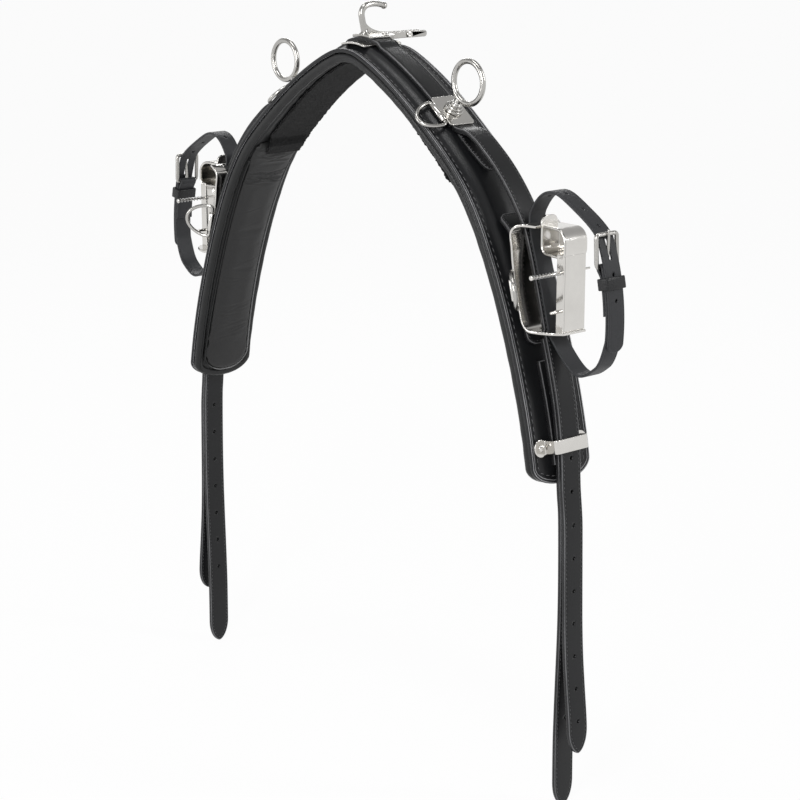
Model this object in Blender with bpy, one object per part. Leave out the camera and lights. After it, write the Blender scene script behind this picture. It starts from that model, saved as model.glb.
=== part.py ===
# Harness-racing saddle (backpad) with terrets, check hook and quick-hitch shaft couplers.
# Units are metres. +Z is up, +Y points to the horse's tail and +X to its left side.
# The origin is the underside of the crown, where the saddle rests on the horse's back.
# Leather is cut flat, punched and then bent along a line, as a harness maker would do it.

import bpy
import bmesh
from math import atan2, cos, pi, radians, sin
from mathutils import Matrix, Vector

# Fits
touch_gap = 0.0003
pin_clearance = 0.0003
cut_overrun = 0.003
weld_distance = 0.00001
join_weld = 0.000001
flat_angle = radians(0.2)

# The arch of the saddle, measured along its outer face from the crown to the pad's end
arch_half_length = 0.505
arch_end_lean = radians(82)
arch_lean_shares = (
    (0, 0), (0.044, 0.256), (0.083, 0.323), (0.152, 0.384), (0.224, 0.445), (0.297, 0.473),
    (0.368, 0.512), (0.44, 0.646), (0.513, 0.744), (0.606, 0.805), (0.687, 0.848),
    (0.792, 0.888), (0.871, 0.927), (0.931, 0.963), (1, 1),
)
arch_steps = 400
arch_turn_limit = radians(4.5)
arch_span_limit = 0.035

# Skirt, tree, panel and lining
skirt_width = 0.075
skirt_thickness = 0.003
skirt_end_depth = 0.019
ridge_half = 0.017
tree_width = 0.030
tree_thickness = 0.0042
tree_end_gap = 0.003
ridge_shoulder = 0.010
ridge_fade = 0.024
panel_width = 0.074
panel_thickness = 0.0087
panel_end_depth = 0.019
lining_width = 0.052
lining_half_length = 0.172
lining_thickness = 0.0028
lining_skew = 0.0115

# Pad cushions
cushion_start = 0.186
cushion_end_margin = 0.010
cushion_width = 0.060
cushion_crown = 0.0072
cushion_waist = 0.004
cushion_edge = 0.0022
cushion_round = 0.022
cushion_end_share = 0.45
cushion_end_crown_share = 0.3
cushion_foot_share = 0.96
cushion_side_share = 0.7
cushion_round_shares = (0.12, 0.45)

# Straps on the saddle
strap_thickness = 0.004
ridge_strap_width = 0.026
ridge_strap_margin = 0.016
strap_bend = 0.003
strap_end_gap = 0.001
hinge_gap = 0.00035
side_strap_width = 0.025
strap_bow = 0.0308
strap_bow_shares = (
    (0, 0.286), (0.0131, 0.33), (0.0394, 0.565), (0.0737, 0.7), (0.1119, 0.753), (0.1541, 0.818),
    (0.1962, 0.877), (0.2423, 0.935), (0.2845, 0.974), (0.3214, 1), (0.3833, 0.916), (0.4624, 0.789),
    (0.5533, 0.685), (0.6548, 0.633), (0.7378, 0.594), (0.8168, 0.526), (0.8788, 0.451),
    (0.9315, 0.383), (0.9578, 0.36), (1, 0.345),
)
hinge_overhang = 0.02525
under_strap_drop = 0.066
tuck_gap = 0.027
tuck_length = 0.049
tuck_lift = 0.0105
tuck_width = 0.022
tuck_thickness = 0.0025
tuck_point = 0.012
tuck_point_shares = (0.7, 0.2, 0.6)
tuck_bends = 5
strap_safe_drop = 0.085
strap_safe_below = 0.018
strap_safe_width = 0.026
strap_safe_thickness = 0.0045
coupler_safe_width = 0.038
safe_thickness = 0.004
safe_inset = 0.0021
safe_end_depth = 0.008
safe_shift = -0.002
safe_line_shares = (
    (-0.614, -0.3131), (-0.4800, -0.223), (-0.3258, -0.168), (-0.1864, -0.1861), (-0.068, -0.2386),
    (0.1873, -0.2932), (0.427, -0.2949), (0.5755, -0.2899), (0.7466, -0.2387),
)

# Terret with its plate and D ring
terret_place = 0.130
terret_ring_diameter = 0.046
terret_wire = 0.0056
terret_rise = 0.0346
collar_radii = (0.0094, 0.0074, 0.0055)
collar_steps = (0.003, 0.0025, 0.003)
terret_neck_radius = 0.0036
terret_shank_radius = 0.003
terret_nut_radius = 0.0058
terret_nut_height = 0.0046
terret_nut_room = 0.0006
collar_edge = 0.0004
ring_foot_share = 0.45
terret_plate_length = 0.038
terret_plate_width = 0.031
terret_plate_thickness = 0.002
terret_plate_corner = 0.004
terret_plate_front = -0.016
barrel_overlap = 0.0016
barrel_rise = 0.001
barrel_radius = 0.0034
barrel_length = 0.022
dee_wire = 0.0038
dee_span = 0.030
dee_depth = 0.0225
dee_corner = 0.003
dee_bow_start = 0.22
dee_bow_steps = 12
terret_dee_tilt = radians(16.5)

# Crown plate, check hook and crupper fork
crown_plate_length = 0.034
crown_plate_width = 0.050
crown_plate_thickness = 0.002
crown_plate_shift = -0.001
crown_plate_corner = 0.003
hook_base_length = 0.026
hook_base_width = 0.032
hook_base_thickness = 0.0025
hook_base_front = -0.014
hook_base_corner = 0.003
hook_wire = 0.0055
hook_height = 0.0285
hook_line_shares = (
    (-0.33, -0.02), (-0.39, 0.26), (-0.45, 0.52), (-0.47, 0.70), (-0.40, 0.86), (-0.25, 0.96),
    (-0.02, 1.0), (0.26, 0.985), (0.53, 0.92),
)
hook_ball_radius = 0.0033
gusset_thickness = 0.003
gusset_height = 0.012
fork_length = 0.0525
fork_cheek = 0.003
fork_gap = 0.007
fork_height = 0.0065
fork_start_gap = 0.001
fork_bridge = 0.007
fork_bridge_drop = 0.001
fork_screw_place = 0.043
screw_radius = 0.002
screw_head_radius = 0.0036
screw_head_height = 0.0018
hook_screw_spread = 0.018
hook_screw_rear = 0.008

# Coupler, in its own upright frame at coupler_place on the side strap
coupler_share = 0.5118
frame_width = 0.0578
frame_height = 0.0969
frame_sheet = 0.0025
frame_line_shares = (
    (0.120, 0.376), (-0.031, 0.390), (-0.150, 0.372), (-0.258, 0.305), (-0.228, 0.165), (-0.202, 0.027),
    (-0.131, -0.221), (-0.024, -0.448), (0.045, -0.555), (0.170, -0.606), (0.38, -0.606),
    (0.59, -0.606), (0.72, -0.606),
)
frame_front = 0.028
frame_rear = 0.020
frame_rear_inset = 0.004
frame_front_shares = (0.60, 0.94, 1, 1, 1, 1, 1, 1, 1, 1, 0.95, 0.72, 0.45)
slot_clearance = 0.0012
slot_width = 0.027
channel_face = 0.0394
channel_depth = 0.010
channel_sheet = 0.002
channel_front = 0.011
channel_rear = 0.017
socket_width = 0.037
socket_height = 0.028
socket_wall = 0.0025
socket_rise = 0.0236
socket_middle = 0.0219
socket_corners = (0.003, 0.009, 0.008, 0.013)
socket_slant = 0.005
socket_back_hole = 0.004
channel_top_share = 1.6
lug_height = 0.009
lug_length = 0.021
lug_sheet = 0.0022
lug_round_share = 0.8
pin_inset = 0.005
pin_radius = 0.0011
pin_front = 0.047
pin_rear = 0.029
pin_drop = 0.003
pin_head_radius = 0.0024
pin_head_length = 0.002
spring_radius = 0.0019
spring_wire = 0.0007
spring_turns = 8
spring_points_per_turn = 8
stop_pin_radius = 0.0016
stop_pin_front = 0.021
stop_head_length = 0.0018
stop_head_radius = 0.0027
stop_pin_drop = 0.039
knuckle_radius = 0.0034
knuckle_length = 0.020
knuckle_drop = 0.0224
knuckle_shift = -0.00685
knuckle_front = 0.0305
knuckle_lean = radians(14)
coupler_dee_span = 0.035
coupler_dee_depth = 0.027
coupler_dee_turn = radians(41)

# Wrap strap with its buckle; the outer run is an arc so that the keeper can slide along it
wrap_width = 0.020
wrap_thickness = 0.0025
wrap_tip_depth = 0.008
wrap_loop_size = 0.100
wrap_arc_radius = 0.200
wrap_reach = 0.0961
wrap_centre_drop = 0.0444
chape_end_run = 0.01047
chape_lift_run = 0.04677
buckle_bar_run = 0.05568
buckle_top_run = 0.08482
under_end_run = -0.01326
tail_start_run = 0.08203
tail_end_run = -0.02374
wrap_bottom_shares = (
    (0.84, -0.78), (0.70, -0.95), (0.594, -0.999), (0.50, -0.955), (0.41, -0.87), (0.315, -0.775),
    (0.235, -0.695),
)
wrap_inner_shares = ((0.30, -0.63), (-0.10, 0.24))
wrap_top_shares = (
    (-0.086, 0.436), (-0.026, 0.576), (0.064, 0.671), (0.204, 0.721), (0.34, 0.655), (0.459, 0.586),
    (0.609, 0.501), (0.704, 0.436),
)
buckle_bar_radius = 0.0015
buckle_width = 0.026
buckle_corner = 0.003
tongue_overhang = 0.003
wrap_hole_radius = 0.0018
wrap_hole_pitch = 0.0235
wrap_holes_above = 4
wrap_holes_below = 2
tongue_width = 0.003
tongue_thickness = 0.0024
tongue_eye_wall = 0.0013
eye_steps = 12
tongue_slot_width = 0.0042
tongue_slot_length = 0.0205
tongue_slot_run = 0.07156
fold_slot_length = 0.018
keeper_loop_run = 0.04049
keeper_loop_length = 0.0112
keeper_loop_wall = 0.0016
keeper_loop_clearance = 0.0007

# Metal strap keeper
keeper_margin = 0.037
keeper_sheet = 0.0024
keeper_length = 0.013
keeper_leg = 0.0195
keeper_foot_radius = 0.0085
keeper_foot_reach = 0.0255
keeper_bend = 0.002
keeper_rise = 0.0012
rivet_radius = 0.0016
rivet_head_radius = 0.0034
rivet_head_height = 0.0016
rivet_end = -0.0027

# Girth billets
billet_width = 0.025
billet_thickness = 0.004
billet_tip_length = 0.026
billet_hole_radius = 0.002
billet_hole_pitch = 0.0325
billet_hole_count = 7
billet_first_hole = 0.0151
billet_tip_shares = ((1, 1), (0.6, 0.93), (0.3, 0.72), (0.1, 0.42), (0, 0.15))
hinge_round_shares = (0.85, 0.6, 0.3)
hinge_edge_share = 0.08
short_billet_length = 0.242
short_billet_sway = 0.015
short_sway_shares = (
    (0, 0), (0.07, 0.10), (0.215, 0.17), (0.35, 0.23), (0.48, 0.30), (0.61, 0.43), (0.74, 0.64),
    (0.87, 0.87), (1, 1),
)
long_billet_length = 0.302
long_billet_sway = 0.0022
long_sway_shares = (
    (0, 0), (0.05, 0.35), (0.155, 0.75), (0.26, 1), (0.37, 1), (0.47, 0.7), (0.58, 0.25),
    (0.68, -0.1), (0.8, -0.3), (1, 0.1),
)

# Detail of curved shapes
small_hole_sides = 8
round_steps = 5
ring_steps = 28
bend_share = 0.3
slot_round_share = 0.9
screw_flat_share = 0.6
screw_edge_share = 0.45
pin_flat_share = 0.6

# Heights above the skirt's edge, read from the stack
panel_top = -skirt_thickness - touch_gap
panel_low = panel_top - panel_thickness
lining_top = panel_low - touch_gap
lining_low = lining_top - lining_thickness
ridge_height = tree_thickness + touch_gap
tree_top = ridge_height - skirt_thickness - touch_gap
tree_low = tree_top - tree_thickness
strap_base = ridge_height + touch_gap
strap_top = strap_base + strap_thickness
terret_plate_base = strap_top + touch_gap
terret_plate_top = terret_plate_base + terret_plate_thickness
hump = crown_plate_thickness + touch_gap
hook_base_low = strap_top + hump + touch_gap
hook_base_top = hook_base_low + hook_base_thickness
crown_top_z = -lining_low
hinge_place = arch_half_length + hinge_overhang
ridge_strap_half = terret_place + ridge_strap_margin
strap_start = ridge_strap_half + strap_end_gap
keeper_place = arch_half_length - keeper_margin
coupler_place = terret_place + (keeper_place - terret_place) * coupler_share
tree_half_length = coupler_place - tree_end_gap
under_strap_start = coupler_place + under_strap_drop
tuck_start = terret_place + tuck_gap
tuck_end = tuck_start + tuck_length
strap_safe_start = coupler_place + strap_safe_drop
strap_safe_end = keeper_place + strap_safe_below


# Lines in a plane, along which flat patterns are bent

def blend_table(table, value):
    """Read a table of (place, amount) pairs at any place, with straight runs between them."""
    if value <= table[0][0]:
        return table[0][1]
    for (place_a, amount_a), (place_b, amount_b) in zip(table, table[1:]):
        if value <= place_b:
            return amount_a + (amount_b - amount_a) * (value - place_a) / (place_b - place_a)
    return table[-1][1]


class BendLine:
    """A line of straight runs with a distance along it; its left side is the outer side."""

    def __init__(self, points):
        self.points = [Vector(point) for point in points]
        self.distances = [0.0]
        for before, after in zip(self.points, self.points[1:]):
            self.distances.append(self.distances[-1] + (after - before).length)
        self.length = self.distances[-1]
        runs = [(after - before).normalized() for before, after in zip(self.points, self.points[1:])]
        self.headings = [runs[0]]
        for before, after in zip(runs, runs[1:]):
            self.headings.append((before + after) / (1 + before.dot(after)))
        self.headings.append(runs[-1])

    def at(self, distance):
        """Point and heading at a distance along the line; past its ends it runs on straight."""
        if distance <= 0:
            return self.points[0] + self.headings[0] * distance, self.headings[0]
        if distance >= self.length:
            return self.points[-1] + self.headings[-1] * (distance - self.length), self.headings[-1]
        index = 0
        last = len(self.points) - 1
        while last - index > 1:
            middle = (index + last) // 2
            if self.distances[middle] <= distance:
                index = middle
            else:
                last = middle
        share = (distance - self.distances[index]) / (self.distances[last] - self.distances[index])
        point = self.points[index].lerp(self.points[last], share)
        return point, self.headings[index].lerp(self.headings[last], share)

    def offset(self, distance, height):
        """The point at a height on the outer side of the line."""
        point, heading = self.at(distance)
        return point + Vector((-heading.y, heading.x)) * height

    def nearest(self, place):
        """Distance along the line of the point nearest to a place."""
        best = (1e9, 0.0)
        for index in range(len(self.points) - 1):
            run = self.points[index + 1] - self.points[index]
            share = min(max((place - self.points[index]).dot(run) / run.length_squared, 0), 1)
            gap = (self.points[index] + run * share - place).length
            best = min(best, (gap, self.distances[index] + share * run.length))
        return best[1]

    def crossings(self, other, height):
        """Distances along this line where it meets the other line at a height."""
        found = []
        rail = [other.offset(distance, height) for distance in other.distances]
        for index in range(len(self.points) - 1):
            start = self.points[index]
            run = self.points[index + 1] - start
            for before, after in zip(rail, rail[1:]):
                step = after - before
                scale = run.x * step.y - run.y * step.x
                if abs(scale) < 1e-12:
                    continue
                share = ((before.x - start.x) * step.y - (before.y - start.y) * step.x) / scale
                other_share = ((before.x - start.x) * run.y - (before.y - start.y) * run.x) / scale
                if 0 <= share < 1 and 0 <= other_share < 1:
                    found.append(self.distances[index] + share * run.length)
        return found


def smooth_points(points, steps):
    """A smooth curve through points, with a number of steps between each two."""
    points = [Vector(point) for point in points]
    result = []
    for index in range(len(points) - 1):
        p0 = points[max(index - 1, 0)]
        p1 = points[index]
        p2 = points[index + 1]
        p3 = points[min(index + 2, len(points) - 1)]
        for step in range(steps):
            t = step / steps
            bend = (2 * p0 - 5 * p1 + 4 * p2 - p3) * t ** 2 + (3 * p1 - p0 - 3 * p2 + p3) * t ** 3
            result.append((2 * p1 + (p2 - p0) * t + bend) / 2)
    result.append(points[-1])
    return result


def arc_points(centre, radius, start, end, steps):
    """Points on an arc, from one angle to another."""
    points = []
    for step in range(steps + 1):
        angle = start + (end - start) * step / steps
        points.append(Vector((centre[0] + radius * cos(angle), centre[1] + radius * sin(angle))))
    return points


def make_arch_line():
    """The skirt's outer face beside the ridge, from the crown down the left side."""
    points = [Vector((0, crown_top_z))]
    place = points[0].copy()
    step = arch_half_length / arch_steps
    last_lean = 0
    span = 0
    for index in range(arch_steps):
        lean = blend_table(arch_lean_shares, (index + 0.5) / arch_steps) * arch_end_lean
        place += Vector((cos(lean), -sin(lean))) * step
        span += step
        if lean - last_lean > arch_turn_limit or span > arch_span_limit or index == arch_steps - 1:
            points.append(place.copy())
            last_lean = lean
            span = 0
    line = BendLine(points)
    line.headings[0] = Vector((1 / line.headings[0].x, 0))
    return line


arch_line = make_arch_line()


def arch_point(distance, height):
    """A point of the arch as x and z; a negative distance is on the right side."""
    point = arch_line.offset(abs(distance), height)
    if distance < 0:
        point.x = -point.x
    return point


def arch_frame(distance, height=0.0):
    """A frame on the left side: X down the arch, Y to the tail, Z outward."""
    point, heading = arch_line.at(distance)
    point = arch_line.offset(distance, height)
    turn = Matrix.Rotation(atan2(-heading.y, heading.x), 4, "Y")
    return Matrix.Translation((point.x, 0, point.y)) @ turn


def side_strap_height(distance):
    """Height of the side strap's outer face above the skirt's edge."""
    share = (distance - strap_start) / (hinge_place - strap_start)
    return blend_table(strap_bow_shares, share) * strap_bow


def make_side_strap_line():
    """The side strap's outer face, from the terret plate to the hinge line."""
    span = hinge_place - strap_start
    places = [strap_start + span * share for share, bow in strap_bow_shares]
    return BendLine(smooth_points([arch_point(place, side_strap_height(place)) for place in places], 2))


side_strap_line = make_side_strap_line()
coupler_origin = arch_point(coupler_place, side_strap_height(coupler_place))
wrap_centre = coupler_origin + Vector((wrap_reach - wrap_arc_radius, -wrap_centre_drop))


def coupler_point(share_x, share_z):
    """A point of the coupler's frame from its shares."""
    return coupler_origin + Vector((share_x * frame_width, share_z * frame_height))


def wrap_point(radius, angle):
    """A point about the centre of the wrap strap's outer run."""
    return wrap_centre + Vector((cos(angle), sin(angle))) * radius


# Angles of the places in the wrap strap's outer run, and the radii of its layers
chape_end_angle = chape_end_run / wrap_arc_radius
chape_lift_angle = chape_lift_run / wrap_arc_radius
buckle_bar_angle = buckle_bar_run / wrap_arc_radius
buckle_top_angle = buckle_top_run / wrap_arc_radius
under_end_angle = under_end_run / wrap_arc_radius
tail_start_angle = tail_start_run / wrap_arc_radius
tail_end_angle = tail_end_run / wrap_arc_radius
tongue_slot_angle = tongue_slot_run / wrap_arc_radius
keeper_loop_angle = keeper_loop_run / wrap_arc_radius
tail_radius = wrap_arc_radius - wrap_thickness / 2
under_radius = tail_radius - wrap_thickness - touch_gap
chape_radius = under_radius - wrap_thickness - touch_gap
fold_radius = buckle_bar_radius + pin_clearance + wrap_thickness / 2
buckle_bar_radius_place = under_radius - fold_radius
buckle_top_radius_place = wrap_arc_radius + touch_gap + buckle_bar_radius


def make_wrap_line():
    """The middle of the wrap strap, from its sewn-back end round the loop to its tail."""
    bar = wrap_point(buckle_bar_radius_place, buckle_bar_angle)
    points = arc_points(wrap_centre, chape_radius, chape_end_angle, chape_lift_angle, 3)
    fold = arc_points(bar, fold_radius, buckle_bar_angle + pi, buckle_bar_angle, 7)
    points += fold
    points += arc_points(wrap_centre, under_radius, buckle_bar_angle, under_end_angle, 6)[1:]
    bottom = [coupler_origin + Vector(share) * wrap_loop_size for share in wrap_bottom_shares]
    inner_start = side_strap_line.nearest(coupler_point(*wrap_inner_shares[0]))
    inner_end = side_strap_line.nearest(coupler_point(*wrap_inner_shares[1]))
    inner_height = touch_gap + wrap_thickness / 2
    inner = [side_strap_line.offset(inner_start, inner_height)]
    for place in reversed(side_strap_line.distances):
        if inner_end < place < inner_start:
            inner.append(side_strap_line.offset(place, inner_height))
    inner.append(side_strap_line.offset(inner_end, inner_height))
    top = [coupler_origin + Vector(share) * wrap_loop_size for share in wrap_top_shares]
    points += smooth_points([points[-1], *bottom, inner[0]], 2)[1:]
    points += inner[1:]
    tail = arc_points(wrap_centre, tail_radius, tail_start_angle, tail_end_angle, 8)
    points += smooth_points([inner[-1], *top, tail[0]], 2)[1:]
    points += tail[1:]
    return BendLine(points)


wrap_line = make_wrap_line()


# Blender helpers

def start_scene():
    """Empty the scene and make a collection for the part and one for cutters."""
    for old in list(bpy.data.objects):
        bpy.data.objects.remove(old, do_unlink=True)
    for name in ("driving_harness", "cutters"):
        bpy.context.scene.collection.children.link(bpy.data.collections.new(name))


def make_material(name, colour, metallic, roughness):
    """A plain Principled material."""
    material = bpy.data.materials.new(name)
    material.use_nodes = True
    shader = material.node_tree.nodes["Principled BSDF"]
    shader.inputs["Base Color"].default_value = (*colour, 1)
    shader.inputs["Metallic"].default_value = metallic
    shader.inputs["Roughness"].default_value = roughness


def make_materials():
    """One material for each finish of the harness."""
    make_material("black_leather", (0.035, 0.035, 0.038), 0, 0.42)
    make_material("skirt_leather", (0.02, 0.02, 0.023), 0, 0.28)
    make_material("pad_leather", (0.04, 0.04, 0.04), 0, 0.6)
    make_material("felt", (0.02, 0.02, 0.021), 0, 0.95)
    make_material("polished_steel", (0.72, 0.71, 0.69), 1, 0.16)
    make_material("spring_steel", (0.45, 0.46, 0.48), 1, 0.4)


def bmesh_object(name, bm, material_name, smooth=False):
    """Turn a bmesh into a named object with outward normals and its material."""
    bmesh.ops.recalc_face_normals(bm, faces=bm.faces)
    if bm.calc_volume(signed=True) < 0:
        bmesh.ops.reverse_faces(bm, faces=bm.faces)
    for face in bm.faces:
        face.smooth = smooth
    mesh = bpy.data.meshes.new(name)
    bm.to_mesh(mesh)
    bm.free()
    mesh.materials.append(bpy.data.materials[material_name])
    piece = bpy.data.objects.new(name, mesh)
    bpy.data.collections["driving_harness"].objects.link(piece)
    return piece


def evaluated_mesh(source):
    """The mesh of an object or curve after its modifiers."""
    bpy.context.view_layer.update()
    depsgraph = bpy.context.evaluated_depsgraph_get()
    return bpy.data.meshes.new_from_object(source.evaluated_get(depsgraph))


def curve_bmesh(curve):
    """The welded mesh of a curve, which is then removed."""
    holder = bpy.data.objects.new("curve_holder", curve)
    bpy.data.collections["cutters"].objects.link(holder)
    mesh = evaluated_mesh(holder)
    bm = bmesh.new()
    bm.from_mesh(mesh)
    bmesh.ops.remove_doubles(bm, verts=bm.verts, dist=weld_distance)
    bpy.data.objects.remove(holder, do_unlink=True)
    bpy.data.curves.remove(curve)
    bpy.data.meshes.remove(mesh)
    return bm


def combine(piece, others, operation):
    """Join or cut a piece with others by exact booleans; the others are used up."""
    cutters = bpy.data.collections["cutters"]
    for other in others:
        for collection in list(other.users_collection):
            collection.objects.unlink(other)
        cutters.objects.link(other)
        modifier = piece.modifiers.new(operation.lower(), "BOOLEAN")
        modifier.operation = operation
        modifier.solver = "EXACT"
        modifier.object = other
    mesh = evaluated_mesh(piece)
    piece.modifiers.clear()
    old = piece.data
    piece.data = mesh
    mesh.name = piece.name
    bpy.data.meshes.remove(old)
    for other in others:
        bpy.data.objects.remove(other, do_unlink=True)
    bm = bmesh.new()
    bm.from_mesh(mesh)
    bmesh.ops.remove_doubles(bm, verts=bm.verts, dist=join_weld)
    bmesh.ops.dissolve_limit(bm, angle_limit=flat_angle, verts=bm.verts, edges=bm.edges)
    bmesh.ops.triangulate(bm, faces=bm.faces)
    bm.to_mesh(mesh)
    bm.free()


def set_origin(piece, place):
    """Put the object's origin, on its joint axis, at a place of the part's frame."""
    place = Vector(place)
    piece.data.transform(Matrix.Translation(-place))
    piece.location = place


def flat_pattern(outline, holes, thickness):
    """A plate cut from a flat outline with holes, its middle in the plane z = 0."""
    curve = bpy.data.curves.new("pattern", "CURVE")
    curve.dimensions = "2D"
    curve.fill_mode = "BOTH"
    curve.extrude = thickness / 2
    for loop in (outline, *holes):
        spline = curve.splines.new("POLY")
        spline.points.add(len(loop) - 1)
        for spline_point, place in zip(spline.points, loop):
            spline_point.co = (place[0], place[1], 0, 1)
        spline.use_cyclic_u = True
    bm = curve_bmesh(curve)
    bmesh.ops.dissolve_limit(bm, angle_limit=flat_angle, verts=bm.verts, edges=bm.edges)
    return bm


def cut_across(bm, places, axis):
    """Add edges across a pattern at places along an axis, so that it can bend there."""
    normal = Vector((0, 0, 0))
    normal[axis] = 1
    reach = [vertex.co[axis] for vertex in bm.verts]
    kept = [place for place in places if min(reach) + weld_distance < place < max(reach) - weld_distance]
    for place in kept:
        geometry = bm.verts[:] + bm.edges[:] + bm.faces[:]
        bmesh.ops.bisect_plane(
            bm, geom=geometry, dist=weld_distance, plane_co=normal * place, plane_no=normal)
    return kept


def on_cut(edge, places, axis):
    """Whether an edge lies in one of the cuts across an axis."""
    low, high = sorted(vertex.co[axis] for vertex in edge.verts)
    return high - low < weld_distance and any(abs(low - place) < weld_distance for place in places)


def cut_pattern(bm, cuts, side_cuts=()):
    """Cut a flat pattern both ways and merge what the cuts leave between them."""
    kept = cut_across(bm, cuts, 0)
    side_kept = cut_across(bm, side_cuts, 1)
    spare = [edge for edge in bm.edges if not on_cut(edge, kept, 0) and not on_cut(edge, side_kept, 1)]
    bmesh.ops.dissolve_limit(bm, angle_limit=flat_angle, verts=bm.verts, edges=spare)
    bmesh.ops.triangulate(bm, faces=bm.faces)


def bent_piece(name, bm, offset, cuts, side_cuts, material_name, lift, squeeze=None):
    """Bend a flat pattern: offset gives the place for a distance along and a height."""
    cut_pattern(bm, cuts, side_cuts)
    for vertex in bm.verts:
        along, across, out = vertex.co
        if squeeze:
            out *= squeeze(along)
        point = offset(along, out + lift(along, across))
        vertex.co = (point.x, across, point.y)
    return bmesh_object(name, bm, material_name)


def mirrored(places):
    """The places on both sides of the crown."""
    return [side * place for place in places for side in (-1, 1)]


def arch_piece(name, outline, holes, thickness, low, material_name, cuts=(), side_cuts=(), lift=None):
    """A piece that lies along the arch, its underside at a height above the skirt's edge."""
    bm = flat_pattern(outline, holes, thickness)

    def full_lift(along, across):
        return low + thickness / 2 + (lift(along, across) if lift else 0)

    stations = [0.0, *mirrored(arch_line.distances[1:-1]), *cuts]
    return bent_piece(name, bm, arch_point, stations, side_cuts, material_name, full_lift)


def line_piece(name, line, outline, holes, thickness, height, material_name, squeeze=None, cuts=()):
    """A piece bent along a line, its middle at a height on the line's outer side."""
    bm = flat_pattern(outline, holes, thickness)
    stations = list(line.distances[1:-1]) + list(cuts)
    return bent_piece(name, bm, line.offset, stations, (), material_name, lambda u, v: height, squeeze)


def circle_outline(x, y, radius, sides=small_hole_sides):
    """A regular outline round a point."""
    points = []
    for index in range(sides):
        angle = 2 * pi * (index + 0.5) / sides
        points.append((x + radius * cos(angle), y + radius * sin(angle)))
    return points


def box_outline(x_low, x_high, y_low, y_high, corners=(0, 0, 0, 0), steps=3):
    """A rectangle whose corners, from low-left round to high-left, have their own radii."""
    places = ((x_low, y_low, pi), (x_high, y_low, -pi / 2), (x_high, y_high, 0), (x_low, y_high, pi / 2))
    points = []
    for (x, y, start), radius in zip(places, corners):
        if not radius:
            points.append((x, y))
            continue
        centre_x = x + (radius if x == x_low else -radius)
        centre_y = y + (radius if y == y_low else -radius)
        for step in range(steps + 1):
            angle = start + pi / 2 * step / steps
            points.append((centre_x + radius * cos(angle), centre_y + radius * sin(angle)))
    return points


def rounded_end(place, direction, half_width, depth, steps=round_steps):
    """The outline of a rounded strap end, from its -y side to its +y side."""
    points = []
    for step in range(-steps, steps + 1):
        angle = pi / 2 * step / steps
        points.append((place - direction * depth * (1 - cos(angle)), half_width * sin(angle)))
    return points


def strap_outline(start, end, width, start_depth=0.0, end_depth=0.0, middle=0.0):
    """A strap from start to end; a depth rounds an end over that length."""
    half = width / 2
    points = []
    if end_depth:
        points += rounded_end(end, 1, half, end_depth)
    else:
        points += [(end, -half), (end, half)]
    if start_depth:
        points += list(reversed(rounded_end(start, -1, half, start_depth)))
    else:
        points += [(start, half), (start, -half)]
    return [(x, y + middle) for x, y in points]


def prism(name, outline, thickness, matrix, material_name, holes=()):
    """A flat plate placed by a matrix; used for pieces that aren't bent."""
    bm = flat_pattern(outline, holes, thickness)
    bmesh.ops.triangulate(bm, faces=bm.faces)
    bmesh.ops.transform(bm, matrix=matrix, verts=bm.verts)
    return bmesh_object(name, bm, material_name)


def plane_yz(x=0.0):
    """Pattern axes onto Y and Z, thickness along X."""
    return Matrix(((0, 0, 1, x), (1, 0, 0, 0), (0, 1, 0, 0), (0, 0, 0, 1)))


def plane_xz(y=0.0):
    """Pattern axes onto X and Z, thickness along Y."""
    return Matrix(((1, 0, 0, 0), (0, 0, 1, y), (0, 1, 0, 0), (0, 0, 0, 1)))


def rod(name, start, end, radius, material_name, sides=16):
    """A round rod between two places."""
    start = Vector(start)
    end = Vector(end)
    turn = (end - start).to_track_quat("Z", "X").to_matrix().to_4x4()
    bm = bmesh.new()
    bmesh.ops.create_cone(
        bm, cap_ends=True, segments=sides, radius1=radius, radius2=radius, depth=(end - start).length,
        matrix=Matrix.Translation((start + end) / 2) @ turn)
    return bmesh_object(name, bm, material_name, smooth=True)


def turned(name, profile, matrix, material_name, sides=16):
    """A turned shape about the matrix's Z axis from (radius, height) pairs, top to bottom."""
    bm = bmesh.new()
    verts = [bm.verts.new((radius, 0, height)) for radius, height in profile]
    edges = [bm.edges.new(pair) for pair in zip(verts, verts[1:])]
    bmesh.ops.spin(
        bm, geom=verts + edges, cent=(0, 0, 0), axis=(0, 0, 1), angle=2 * pi, steps=sides,
        use_duplicate=False)
    bmesh.ops.remove_doubles(bm, verts=bm.verts, dist=weld_distance)
    bmesh.ops.dissolve_degenerate(bm, edges=bm.edges, dist=weld_distance)
    bmesh.ops.transform(bm, matrix=matrix, verts=bm.verts)
    return bmesh_object(name, bm, material_name, smooth=True)


def wire(name, points, radius, material_name, cyclic=False, resolution=2):
    """A round wire along points."""
    curve = bpy.data.curves.new(name, "CURVE")
    curve.dimensions = "3D"
    curve.bevel_depth = radius
    curve.bevel_resolution = resolution
    curve.use_fill_caps = True
    spline = curve.splines.new("POLY")
    spline.points.add(len(points) - 1)
    for spline_point, place in zip(spline.points, points):
        spline_point.co = (*place, 1)
    spline.use_cyclic_u = cyclic
    return bmesh_object(name, curve_bmesh(curve), material_name, smooth=True)


def dee_points(span, depth, corner):
    """A D in a plane: its straight side on the x axis, its bow towards +y."""
    half = span / 2
    bend = corner * bend_share
    points = [(-half + corner, 0), (0, 0), (half - corner, 0), (half - bend, bend)]
    for step in range(dee_bow_steps + 1):
        angle = dee_bow_start + (pi - 2 * dee_bow_start) * step / dee_bow_steps
        points.append((half * cos(angle) / cos(dee_bow_start), depth * sin(angle)))
    points.append((-half + bend, bend))
    return points


# The middle of the saddle

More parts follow.
